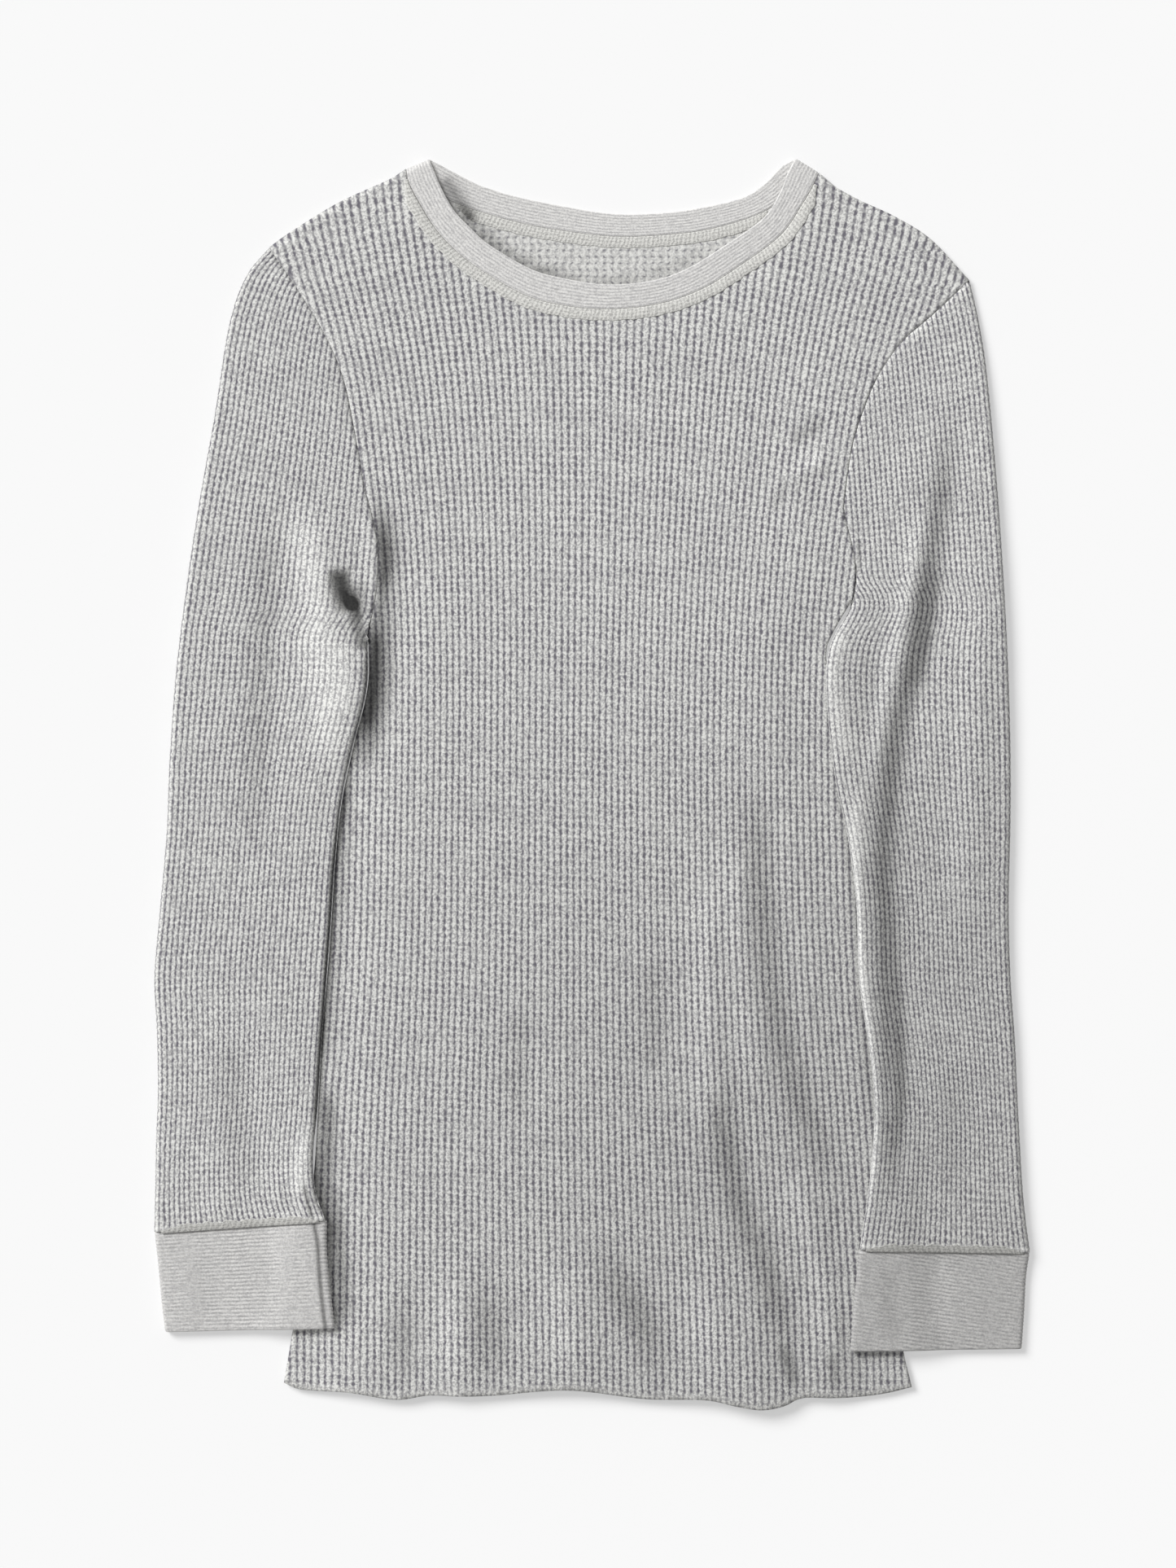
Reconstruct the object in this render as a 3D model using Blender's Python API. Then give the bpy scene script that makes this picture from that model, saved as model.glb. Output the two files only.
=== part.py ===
"""A long-sleeved thermal top of waffle knit, laid flat on its back with the sleeves beside the body.

+X is to the right seen from above, +Y runs up to the neck and +Z is up. The back lies on the plane z = 0 and
the origin is on that plane, under the middle of the garment. Seven pieces are cut and sewn: front, back, two
sleeves, two cuffs and the neckband. Each is a wall of cloth made between an outer and an inner surface, and
both surfaces are read from the seams, which neighbouring pieces share, less the gap between them. Tables and
named sizes are in millimetres.
"""

import math
from typing import NamedTuple

import bmesh
import bpy
import numpy as np

MM = 0.001

# Thickness of the cloth.
WALL = 1.6
BAND_WALL = 2.0
CUFF_WALL = 1.9
SEAM_GAP = 0.3
NECK_TIP_GAP = 0.9
LAYER_GAP = 0.4

# How high the layers lie.
FRONT_BASE = WALL + LAYER_GAP
SLEEVE_CLEAR = FRONT_BASE + WALL + LAYER_GAP
CHEST_DOME = 2.6
ARMHOLE_RISE = 2.6
NECK_TIP_RISE = 0.4
NECK_FRONT_RISE = 2.0
BAND_EDGE_RISE = 0.4
DRAPE_START = 6.0
DRAPE_RUN = 16.0

# Widths over which a height fades in.
DOME_RAMP = 38.0
EDGE_RAMP = 45.0
HEM_RAMP = 95.0
NECK_REACH = 3.0
FOLD_RAMP = 14.0

# How many faces a surface gets.
SIDE_ROWS = 20
ARMHOLE_POINTS = 10
ARMHOLE_END = 0.04
SHOULDER_COLUMNS = 5
SHOULDER_SHARE = 0.13
FRONT_NECK_COLUMNS = 20
BACK_NECK_COLUMNS = 10
SLEEVE_RINGS = 19
CUFF_RINGS = 4
BAND_RINGS = 4
ROUND_POINTS = (0.0, 0.3, 1.0)
ROUND_INWARD = (1.0, 0.7, 0.3)
CURVE_SAMPLES = 12
FOLD_SAMPLES = 25
SHARP_DEGREES = 50.0

# Shares of a length or width.
ARMHOLE_LEAN = 2.0
SLEEVE_BEND_FROM = 0.45
SLEEVE_JOIN_FROM = 0.72
MOST_FOLD_RADIUS = 0.03
FOLD_ENDS = 0.3
HEM_DOME = 0.4

# How much shorter the back is than the front.
BACK_HEM_SHORT = 2.5


class EdgePoint(NamedTuple):
    """A point of a side seam, and how wide a strip inside it a sleeve presses flat."""

    x: float
    y: float
    pressed: float


class HemPoint(NamedTuple):
    """A point of the hem, and how far the front stands off the back there."""

    x: float
    y: float
    lift: float


class Station(NamedTuple):
    """A line across a sleeve or a cuff, from its inner fold to its outer fold.

    over is how far the inner fold lies over the body, and lift is the share of the height of the body's edge
    that raises the lower layer there.
    """

    inner_x: float
    inner_y: float
    outer_x: float
    outer_y: float
    thick: float
    over: float
    lift: float


class Fold(NamedTuple):
    """A soft ridge, or a trough where height is negative, along a curve through three points."""

    start: tuple
    middle: tuple
    end: tuple
    half_width: float
    height: float


LEFT_SIDE = (
    EdgePoint(-174.0, -338.0, 16.0),
    EdgePoint(-169.0, -308.5, 27.0),
    EdgePoint(-163.5, -275.0, 19.0),
    EdgePoint(-157.5, -225.0, 6.0),
    EdgePoint(-155.0, -190.0, 0.0),
    EdgePoint(-152.5, -144.5, 0.0),
    EdgePoint(-149.5, -109.0, 0.0),
    EdgePoint(-147.5, -83.5, 0.0),
    EdgePoint(-145.0, -45.0, 0.0),
    EdgePoint(-141.5, -12.0, 0.0),
    EdgePoint(-134.5, 22.0, 0.0),
    EdgePoint(-128.5, 45.0, 0.0),
    EdgePoint(-126.0, 62.0, 0.0),
    EdgePoint(-126.5, 83.0, 0.0),
)

RIGHT_SIDE = (
    EdgePoint(180.5, -340.5, 24.0),
    EdgePoint(175.0, -316.0, 34.0),
    EdgePoint(169.5, -275.0, 25.0),
    EdgePoint(166.0, -238.0, 15.0),
    EdgePoint(163.0, -201.0, 8.0),
    EdgePoint(159.5, -144.5, 8.0),
    EdgePoint(155.0, -83.5, 9.0),
    EdgePoint(151.0, -40.0, 10.0),
    EdgePoint(146.5, 1.0, 13.0),
    EdgePoint(141.0, 33.5, 12.0),
    EdgePoint(135.0, 58.5, 8.0),
    EdgePoint(132.0, 74.0, 3.0),
    EdgePoint(137.0, 87.0, 0.0),
    EdgePoint(146.5, 103.0, 0.0),
)

LEFT_ARMHOLE = (
    (-127.5, 82.5), (-124.0, 97.0), (-121.5, 111.0), (-121.0, 133.5), (-124.5, 152.5), (-128.5, 167.5),
    (-132.5, 190.5), (-140.0, 227.0), (-150.0, 251.5), (-165.0, 277.0), (-182.5, 302.5),
)

RIGHT_ARMHOLE = (
    (147.5, 103.5), (149.3, 118.5), (147.0, 134.0), (142.5, 152.5), (143.0, 165.0), (147.5, 193.5),
    (157.5, 222.0), (166.0, 237.5), (176.5, 251.0), (191.5, 264.0), (213.0, 284.0),
)

LEFT_SHOULDER = ((-182.5, 302.5), (-170.0, 311.5), (-143.0, 328.0), (-115.5, 340.5), (-105.0, 347.0))
RIGHT_SHOULDER = (
    (128.0, 345.0), (135.5, 338.0), (150.5, 329.5), (171.0, 320.0), (191.5, 307.0), (213.0, 284.0),
)

HEM = (
    HemPoint(-174.0, -338.0, 0.0),
    HemPoint(-163.5, -342.0, 1.0),
    HemPoint(-137.0, -343.5, 2.0),
    HemPoint(-111.0, -347.5, 0.8),
    HemPoint(-92.0, -345.0, 1.2),
    HemPoint(-74.0, -345.5, 2.4),
    HemPoint(-54.0, -345.0, 0.9),
    HemPoint(-13.5, -342.0, 2.6),
    HemPoint(29.5, -347.0, 0.9),
    HemPoint(63.5, -347.5, 2.8),
    HemPoint(81.5, -351.0, 4.0),
    HemPoint(95.5, -353.0, 4.4),
    HemPoint(108.0, -351.0, 2.4),
    HemPoint(118.5, -346.5, 0.7),
    HemPoint(135.0, -346.5, 2.4),
    HemPoint(150.0, -346.0, 0.8),
    HemPoint(166.0, -344.0, 1.2),
    HemPoint(180.5, -340.5, 0.0),
)

FRONT_BAND_EDGE = (
    (-92.0, 352.5), (-89.0, 345.5), (-84.5, 335.0), (-77.5, 323.0), (-68.5, 313.5), (-58.0, 304.0),
    (-35.0, 290.5), (-16.0, 285.0), (9.0, 281.5), (35.5, 284.0), (54.5, 291.0), (72.5, 302.0),
    (96.5, 319.0), (106.5, 334.5), (110.5, 345.0), (115.0, 353.0),
)
FRONT_BAND_SEAM = (
    (-105.0, 347.0), (-103.0, 338.0), (-97.0, 326.5), (-89.5, 314.5), (-79.5, 303.0), (-66.0, 292.0),
    (-40.0, 276.5), (-18.0, 270.0), (9.0, 267.5), (37.5, 270.5), (61.0, 278.5), (81.0, 290.5),
    (106.0, 309.0), (119.0, 327.5), (125.0, 338.0), (128.0, 345.0),
)
BACK_BAND_EDGE = (
    (-92.0, 352.5), (-85.0, 349.0), (-70.0, 341.0), (-59.5, 336.5), (-38.5, 330.5), (-2.0, 323.5),
    (17.0, 321.5), (35.5, 322.0), (54.5, 324.0), (82.5, 330.0), (96.5, 338.0), (106.5, 348.0), (115.0, 353.0),
)
BACK_BAND_SEAM = (
    (-105.0, 347.0), (-95.0, 337.0), (-72.0, 326.0), (-42.0, 317.0), (-15.0, 312.0), (14.0, 309.0),
    (42.0, 310.0), (68.0, 313.5), (96.0, 322.5), (116.0, 336.0), (128.0, 345.0),
)

LEFT_SLEEVE = (
    Station(-149.5, -246.0, -247.0, -253.0, 6.4, 10.5, 1.0),
    Station(-156.5, -233.5, -246.5, -229.0, 7.0, 3.0, 1.0),
    Station(-160.0, -210.5, -246.0, -201.0, 6.6, -3.0, 0.5),
    Station(-158.0, -184.5, -245.0, -173.5, 6.4, -3.0, 0.1),
    Station(-155.0, -152.0, -245.5, -141.5, 6.4, -2.0, 0.0),
    Station(-152.0, -117.5, -247.0, -109.0, 6.4, -2.0, 0.0),
    Station(-149.5, -81.5, -244.0, -72.5, 6.6, -2.0, 0.0),
    Station(-147.0, -45.0, -240.0, -26.5, 6.8, -2.0, 0.0),
    Station(-143.0, -13.0, -238.5, 12.0, 7.0, -1.0, 0.0),
    Station(-136.5, 17.0, -235.0, 61.0, 7.2, -1.0, 0.0),
    Station(-131.0, 39.0, -229.5, 107.0, 7.4, -1.0, 0.0),
    Station(-129.0, 56.0, -222.0, 157.5, 7.4, -1.0, 0.0),
    Station(-129.0, 68.0, -213.0, 208.0, 7.0, -1.0, 0.0),
    Station(-128.5, 75.0, -205.0, 258.5, 6.0, -1.0, 0.0),
    Station(-128.0, 79.0, -195.5, 286.0, 5.6, -0.5, 0.0),
    Station(-127.5, 82.5, -182.5, 302.5, 5.0, 0.0, 0.0),
)

RIGHT_SLEEVE = (
    Station(150.5, -262.5, 247.0, -264.5, 6.4, 19.0, 1.0),
    Station(155.0, -236.5, 243.5, -236.5, 7.0, 12.0, 1.0),
    Station(158.0, -208.0, 241.5, -206.0, 6.8, 7.0, 1.0),
    Station(159.5, -182.5, 240.0, -177.5, 6.4, 4.0, 1.0),
    Station(156.5, -150.5, 238.5, -144.5, 6.4, 5.0, 1.0),
    Station(150.5, -111.5, 236.0, -109.0, 6.4, 8.0, 1.0),
    Station(149.0, -68.0, 235.0, -68.0, 6.6, 7.0, 1.0),
    Station(144.0, -29.0, 236.0, -22.0, 6.8, 9.0, 1.0),
    Station(137.5, 1.0, 236.0, 19.5, 7.0, 12.0, 1.0),
    Station(133.5, 33.5, 234.5, 70.0, 7.2, 11.0, 1.0),
    Station(132.0, 54.0, 231.5, 125.5, 7.4, 8.0, 1.0),
    Station(132.5, 70.0, 227.5, 180.5, 7.2, 4.0, 1.0),
    Station(136.5, 83.5, 222.5, 233.5, 6.8, 1.0, 0.7),
    Station(143.5, 94.0, 218.0, 262.0, 6.0, 0.0, 0.3),
    Station(147.5, 103.5, 213.0, 284.0, 5.0, 0.0, 0.0),
)

LEFT_CUFF = (
    Station(-149.5, -246.3, -247.0, -253.3, 5.4, 10.5, 1.0),
    Station(-149.5, -263.0, -245.0, -271.5, 5.0, 14.0, 1.0),
    Station(-147.5, -285.0, -243.0, -293.0, 5.0, 19.0, 1.0),
    Station(-145.0, -307.0, -241.0, -309.5, 5.2, 25.0, 1.0),
)

RIGHT_CUFF = (
    Station(150.5, -262.8, 247.0, -264.8, 5.4, 19.0, 1.0),
    Station(149.0, -278.0, 245.0, -279.0, 5.0, 22.0, 1.0),
    Station(147.0, -298.0, 244.0, -298.0, 5.0, 27.0, 1.0),
    Station(145.5, -320.0, 242.5, -319.0, 5.2, 31.5, 1.0),
)

FRONT_FOLDS = (
    Fold((95.0, 8.0), (97.0, -60.0), (107.0, -132.0), 11.0, -1.2),
    Fold((106.0, -125.0), (118.0, -180.0), (138.0, -238.0), 10.0, -1.2),
    Fold((65.0, -40.0), (66.0, -125.0), (69.0, -212.0), 14.0, 1.2),
    Fold((70.0, -164.0), (90.0, -250.0), (114.0, -335.0), 9.0, -1.4),
    Fold((38.0, -95.0), (38.0, -130.0), (37.0, -165.0), 10.0, -0.7),
    Fold((-38.0, -130.0), (-38.0, -160.0), (-39.0, -190.0), 10.0, -0.7),
    Fold((-112.0, 150.0), (-110.0, 80.0), (-128.0, 12.0), 9.0, -1.3),
    Fold((133.0, 206.0), (126.0, 196.0), (114.0, 190.0), 6.0, -1.2),
    Fold((134.0, 184.0), (124.0, 178.0), (108.0, 160.0), 6.0, 1.2),
)

LEFT_SLEEVE_FOLDS = (
    Fold((-146.0, 175.0), (-150.0, 90.0), (-156.0, -30.0), 9.0, 1.3),
    Fold((-176.0, 150.0), (-183.0, 60.0), (-186.0, -40.0), 10.0, -1.2),
    Fold((-200.0, -150.0), (-196.0, -195.0), (-188.0, -236.0), 9.0, -1.1),
)

RIGHT_SLEEVE_FOLDS = (
    Fold((201.0, 199.0), (190.0, 78.0), (167.0, -32.0), 8.0, -2.2),
    Fold((167.0, -24.0), (171.0, -140.0), (167.0, -242.0), 8.0, -2.2),
    Fold((146.0, 60.0), (156.0, -60.0), (163.0, -190.0), 7.0, 1.2),
    Fold((222.0, 120.0), (214.0, 20.0), (212.0, -90.0), 12.0, 1.0),
)

PALE_MARL = (0.46, 0.46, 0.45, 1.0)
RIB_MARL = (0.55, 0.55, 0.54, 1.0)


def smooth_step(value):
    """0 below 0, 1 above 1, and a soft S between them."""
    value = np.clip(value, 0.0, 1.0)
    return value * value * (3.0 - 2.0 * value)


def smooth_rows(rows, numbers):
    """Rows of a table read at row numbers that need not be whole, along a smooth curve through its rows."""
    rows = np.asarray(rows, float)
    ends = np.vstack([2 * rows[0] - rows[1], rows, 2 * rows[-1] - rows[-2]])
    numbers = np.clip(numbers, 0, len(rows) - 1)
    first = np.minimum(numbers.astype(int), len(rows) - 2)
    t = (numbers - first)[:, None]
    a, b, c, d = (ends[first + step] for step in range(4))
    return 0.5 * (2 * b + (c - a) * t + (2 * a - 5 * b + 4 * c - d) * t**2 + (3 * b - a - 3 * c + d) * t**3)


def along(rows, fractions):
    """A table read at fractions of the length of the smooth curve through its first two columns, x and y."""
    dense = smooth_rows(rows, np.linspace(0, len(rows) - 1, CURVE_SAMPLES * len(rows)))
    steps = np.hypot(*np.diff(dense[:, :2], axis=0).T)
    run = np.concatenate([[0.0], np.cumsum(steps)])
    wanted = np.asarray(fractions) * run[-1]
    return np.column_stack([np.interp(wanted, run, column) for column in dense.T])


def column_shares(count):
    """How far across a body panel each of its columns is, as a share of its width."""
    last = count - 1
    ends = (0, SHOULDER_COLUMNS, last - SHOULDER_COLUMNS, last)
    return np.interp(np.arange(count), ends, (0.0, SHOULDER_SHARE, 1.0 - SHOULDER_SHARE, 1.0))


def set_back(points, distance):
    """An x, y curve moved sideways, to the left of its direction."""
    way = np.gradient(points, axis=0)
    way /= np.linalg.norm(way, axis=1)[:, None]
    return points + distance * np.column_stack([-way[:, 1], way[:, 0]])


def fold_heights(folds, x, y):
    """The sum of all folds' heights at each x, y."""
    total = np.zeros_like(x)
    for fold in folds:
        spine = along((fold.start, fold.middle, fold.end), np.linspace(0, 1, FOLD_SAMPLES))
        gaps = np.hypot(x[..., None] - spine[:, 0], y[..., None] - spine[:, 1])
        place = gaps.argmin(axis=-1) / (len(spine) - 1)
        ends = smooth_step(place / FOLD_ENDS) * smooth_step((1.0 - place) / FOLD_ENDS)
        total += fold.height * ends * np.exp(-((gaps.min(axis=-1) / fold.half_width) ** 2))
    return total


def armhole_fractions():
    """Where along an armhole the panels and the sleeve share their points."""
    return np.concatenate([[0.0], np.linspace(ARMHOLE_END, 1.0 - ARMHOLE_END, ARMHOLE_POINTS), [1.0]])


def armhole_rise(fractions):
    """How far the front stands above its base along an armhole."""
    return ARMHOLE_RISE * np.sin(np.pi * np.clip(fractions, 0.0, 1.0)) ** 0.7


def neck_rise(fractions):
    """How far the front stands above its base along the neckband's seam."""
    return NECK_TIP_RISE + (NECK_FRONT_RISE - NECK_TIP_RISE) * np.sin(np.pi * np.clip(fractions, 0.0, 1.0))


def panel_edges(neck_seam, neck_columns, hem_short):
    """The four edges of a body panel and what is read along them.

    Returns the left and right edges from hem to shoulder, with the pressed width as third column, and the hem
    and the top edge from left to right, with the hem's lift or the rise at the neck as third column.
    """
    fractions = armhole_fractions()
    sides = []
    for side, armhole, turn in ((LEFT_SIDE, LEFT_ARMHOLE, -1), (RIGHT_SIDE, RIGHT_ARMHOLE, 1)):
        seam = along(side, np.linspace(0, 1, SIDE_ROWS + 1))
        hole = set_back(along(armhole, fractions), turn * SEAM_GAP)
        hole = np.column_stack([hole, np.zeros(len(hole))])
        hole[0] = seam[-1]
        sides.append(np.vstack([seam[:-1], hole]))
    left, right = sides
    shoulder_steps = np.linspace(0, 1, SHOULDER_COLUMNS + 1)
    neck_steps = np.linspace(0, 1, neck_columns + 1)
    neck_gaps = SEAM_GAP + NECK_TIP_GAP * (1 - np.sin(np.pi * neck_steps)) ** 4
    neck = set_back(along(neck_seam, neck_steps), -neck_gaps[:, None])
    slope = NECK_TIP_RISE * shoulder_steps
    top = np.vstack([
        np.column_stack([along(LEFT_SHOULDER, shoulder_steps), slope])[:-1],
        np.column_stack([neck, neck_rise(neck_steps)]),
        np.column_stack([along(RIGHT_SHOULDER, shoulder_steps), slope[::-1]])[1:],
    ])
    top[0, :2], top[-1, :2] = left[-1, :2], right[-1, :2]
    share = column_shares(len(top))
    hem_x = left[0, 0] + share * (right[0, 0] - left[0, 0])
    hem = smooth_rows(HEM, np.interp(hem_x, [point.x for point in HEM], range(len(HEM))))
    hem[:, 1] += hem_short * np.sin(np.pi * share) ** 0.2
    return left, right, hem, top


def panel_plan(left, right, hem, top):
    """Fills a panel with points between its four edges. Returns x and y, a row for every line across."""
    middle = (left[:, 1] + right[:, 1]) / 2
    up = (middle - middle[0]) / (middle[-1] - middle[0])
    u, v = column_shares(len(top))[None, :, None], up[:, None, None]
    plan = (1 - u) * left[:, None, :2] + u * right[:, None, :2]
    for edge, reach in ((hem, 1 - v), (top, v**NECK_REACH)):
        chord = (1 - u) * edge[0, :2] + u * edge[-1, :2]
        plan = plan + reach * (edge[None, :, :2] - chord)
    return plan[..., 0], plan[..., 1]


def front_inside(x, y, left, right, hem, top):
    """The height of the front's inner surface: a low dome, the hem's lift and the folds."""
    from_left = np.hypot(x - x[:, :1], y - y[:, :1])
    from_right = np.hypot(x - x[:, -1:], y - y[:, -1:])
    from_hem = np.hypot(x - x[:1], y - y[:1])
    from_top = np.hypot(x - x[-1:], y - y[-1:])
    inside_left = from_left - left[:, 2:3]
    inside_right = from_right - right[:, 2:3]
    free = smooth_step(inside_left / FOLD_RAMP) * smooth_step(inside_right / FOLD_RAMP)
    dome = smooth_step(inside_left / DOME_RAMP) * smooth_step(inside_right / DOME_RAMP)
    dome = dome * smooth_step(from_top / DOME_RAMP)
    dome = dome * (HEM_DOME + (1 - HEM_DOME) * smooth_step(from_hem / HEM_RAMP))
    rise = np.zeros(len(left))
    rise[SIDE_ROWS:] = armhole_rise(armhole_fractions())
    at_arms = (1 - smooth_step(from_left / EDGE_RAMP)) + (1 - smooth_step(from_right / EDGE_RAMP))
    height = FRONT_BASE + CHEST_DOME * dome + rise[:, None] * at_arms
    height = height + hem[None, :, 2] * (1 - smooth_step(from_hem / HEM_RAMP)) * free
    height = height + top[None, :, 2] * (1 - smooth_step(from_top / EDGE_RAMP))
    height = height + fold_heights(FRONT_FOLDS, x, y) * free * smooth_step(from_top / FOLD_RAMP)
    return np.maximum(height, FRONT_BASE)


def ring_places(width, radius):
    """Distances across a flattened tube from fold to fold: close together at the folds, which are round."""
    near = np.array(ROUND_POINTS) * radius
    middle = np.linspace(ARMHOLE_END, 1.0 - ARMHOLE_END, ARMHOLE_POINTS) * width
    return np.concatenate([near, middle, width - near[::-1]])


def fold_profile(distance, width, radius):
    """0 at a tube's folds and 1 where its layers lie flat, rising round a quarter circle."""
    nearest = np.minimum(np.minimum(distance, width - distance), radius)
    return np.sqrt(np.clip(1.0 - (1.0 - nearest / radius) ** 2, 0.0, 1.0))


def sleeve_rings(stations, armhole, folds, ring_count, wall):
    """The outer and inner rings of a sleeve or cuff, from its lower end up, each once round both layers."""
    rows = smooth_rows(stations, np.linspace(0, len(stations) - 1, ring_count))
    outer_rings, inner_rings = [], []
    for number, values in enumerate(rows):
        station = Station(*values)
        upper = number / (ring_count - 1)
        start = np.array([station.inner_x, station.inner_y])
        span = np.array([station.outer_x, station.outer_y]) - start
        width = np.linalg.norm(span)
        joined = bend = 0.0
        if armhole:
            joined = smooth_step((upper - SLEEVE_JOIN_FROM) / (1 - SLEEVE_JOIN_FROM))
            bend = max((upper - SLEEVE_BEND_FROM) / (1 - SLEEVE_BEND_FROM), 0.0) ** 3
        layers = {}
        for name, depth in (("outer", 0.0), ("inner", wall)):
            radius = min(station.thick / 2, MOST_FOLD_RADIUS * width)
            if armhole:
                radius = (1 - joined) * radius + joined * (FRONT_BASE + WALL) / 2
            places = ring_places(width, radius)
            share = places / width
            lean = (1 - (1 - share) ** (1 + ARMHOLE_LEAN * bend))[:, None]
            plan = start + lean * span
            if armhole:
                seam = along(armhole, share)
                plan = plan + bend * (seam - seam[0] - lean * (seam[-1] - seam[0]))
            inward = np.zeros_like(places)
            rounded = len(ROUND_POINTS)
            inward[:rounded] = depth * np.array(ROUND_INWARD)
            inward[-rounded:] = -inward[:rounded][::-1]
            plan = plan + (inward / width)[:, None] * span
            height = np.full_like(places, station.thick)
            if armhole:
                height = (1 - joined) * height + joined * (FRONT_BASE + WALL + armhole_rise(share))
            profile = fold_profile(places, width, radius)
            beyond = smooth_step((places - station.over - DRAPE_START) / DRAPE_RUN)
            ground = max(station.lift, 0.0) * SLEEVE_CLEAR * (1 - beyond)
            crease = fold_heights(folds, plan[:, 0], plan[:, 1]) * profile * (1 - joined)
            reach = (height / 2 - depth) * profile
            top = np.column_stack([plan, ground + height / 2 + reach + crease])
            bottom = np.column_stack([plan, ground + height / 2 - reach])
            layers[name] = np.vstack([top, bottom[-2:0:-1]])
        outer_rings.append(layers["outer"])
        inner_rings.append(layers["inner"])
    return np.array(outer_rings), np.array(inner_rings)


def band_rings():
    """The outer and inner rings of the neckband, from its free edge to its seam, round front and back."""
    outer_rings, inner_rings = [], []
    tip_height = FRONT_BASE + NECK_TIP_RISE + BAND_WALL
    radius = tip_height / 2
    for down in np.linspace(0, 1, BAND_RINGS):
        layers = {}
        for name, depth in (("outer", 0.0), ("inner", BAND_WALL)):
            halves = []
            for edge, seam, columns, upward in (
                (FRONT_BAND_EDGE, FRONT_BAND_SEAM, FRONT_NECK_COLUMNS, 1),
                (BACK_BAND_EDGE, BACK_BAND_SEAM, BACK_NECK_COLUMNS, -1),
            ):
                length = np.hypot(*np.diff(along(edge, np.linspace(0, 1, FOLD_SAMPLES)), axis=0).T).sum()
                near = np.array(ROUND_POINTS) * radius / length
                share = np.concatenate([near, np.arange(1, columns) / columns, 1 - near[::-1]])
                profile = fold_profile(share * length, length, radius)
                moved = share.copy()
                moved[: len(near)] += depth / length
                moved[-len(near):] -= depth / length
                plan = (1 - down) * along(edge, moved) + down * along(seam, moved)
                height = tip_height + np.zeros_like(share)
                if upward > 0:
                    height = FRONT_BASE + BAND_WALL + neck_rise(share) + BAND_EDGE_RISE * (1 - down) * profile
                level = height / 2 + upward * (height / 2 - depth) * profile
                halves.append(np.column_stack([plan, level]))
            front, back = halves
            layers[name] = np.vstack([front, back[-2:0:-1]])
        outer_rings.append(layers["outer"])
        inner_rings.append(layers["inner"])
    return np.array(outer_rings), np.array(inner_rings)


def cloth_wall(name, outer, inner, round_closed, colour):
    """Makes one closed wall of cloth between two surfaces, given as rows of points of equal number.

    With round_closed, every row is a ring. Otherwise it is a line across a panel, and the wall is closed at
    its sides as well as at its ends.
    """
    rows, columns = outer.shape[:2]
    bm = bmesh.new()
    layers = [[[bm.verts.new(point * MM) for point in row] for row in surface] for surface in (outer, inner)]
    steps = columns if round_closed else columns - 1
    for layer, flip in zip(layers, (False, True)):
        for lower, upper in zip(layer, layer[1:]):
            for i in range(steps):
                j = (i + 1) % columns
                corners = (lower[i], lower[j], upper[j], upper[i])
                bm.faces.new(corners[::-1] if flip else corners)
    rims = [(layers[0][0], layers[1][0], steps), (layers[0][-1][::-1], layers[1][-1][::-1], steps)]
    if not round_closed:
        for side in (0, -1):
            outer_side, inner_side = ([row[side] for row in layer] for layer in layers)
            step = -1 if side == 0 else 1
            rims.append((outer_side[::step], inner_side[::step], rows - 1))
    for outer_line, inner_line, count in rims:
        for i in range(count):
            j = (i + 1) % len(outer_line)
            bm.faces.new((outer_line[j], outer_line[i], inner_line[i], inner_line[j]))
    bmesh.ops.recalc_face_normals(bm, faces=bm.faces)
    mesh = bpy.data.meshes.new(name)
    bm.to_mesh(mesh)
    bm.free()
    mesh.shade_smooth()
    mesh.set_sharp_from_angle(angle=math.radians(SHARP_DEGREES))
    mesh.materials.append(knit_material(name, colour))
    piece = bpy.data.objects.new(name, mesh)
    bpy.data.collections["thermal_top"].objects.link(piece)
    return piece


def knit_material(name, colour):
    """A matt cloth finish of one colour."""
    material = bpy.data.materials.new(name)
    material.use_nodes = True
    shader = material.node_tree.nodes["Principled BSDF"]
    shader.inputs["Base Color"].default_value = colour
    shader.inputs["Roughness"].default_value = 0.92
    shader.inputs["Metallic"].default_value = 0.0
    return material


def make_panels():
    """The front, which domes a little over the back, and the back, which lies flat on the ground."""
    edges = panel_edges(FRONT_BAND_SEAM, FRONT_NECK_COLUMNS, 0.0)
    x, y = panel_plan(*edges)
    inside = front_inside(x, y, *edges)
    cloth_wall("front", np.dstack([x, y, inside + WALL]), np.dstack([x, y, inside]), False, PALE_MARL)
    x, y = panel_plan(*panel_edges(BACK_BAND_SEAM, BACK_NECK_COLUMNS, BACK_HEM_SHORT))
    ground = np.zeros_like(x)
    cloth_wall("back", np.dstack([x, y, ground + WALL]), np.dstack([x, y, ground]), False, PALE_MARL)


def make_arms():
    """Both sleeves and their cuffs."""
    sleeves = (
        ("sleeve_left", LEFT_SLEEVE, LEFT_ARMHOLE, LEFT_SLEEVE_FOLDS),
        ("sleeve_right", RIGHT_SLEEVE, RIGHT_ARMHOLE, RIGHT_SLEEVE_FOLDS),
    )
    for name, stations, armhole, folds in sleeves:
        outer, inner = sleeve_rings(stations, armhole, folds, SLEEVE_RINGS, WALL)
        cloth_wall(name, outer, inner, True, PALE_MARL)
    for name, stations in (("cuff_left", LEFT_CUFF), ("cuff_right", RIGHT_CUFF)):
        outer, inner = sleeve_rings(stations, None, (), CUFF_RINGS, CUFF_WALL)
        cloth_wall(name, outer, inner, True, RIB_MARL)


def main():
    for old in list(bpy.data.objects):
        bpy.data.objects.remove(old)
    bpy.context.scene.collection.children.link(bpy.data.collections.new("thermal_top"))
    make_panels()
    make_arms()
    cloth_wall("neckband", *band_rings(), True, RIB_MARL)


main()
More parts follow.
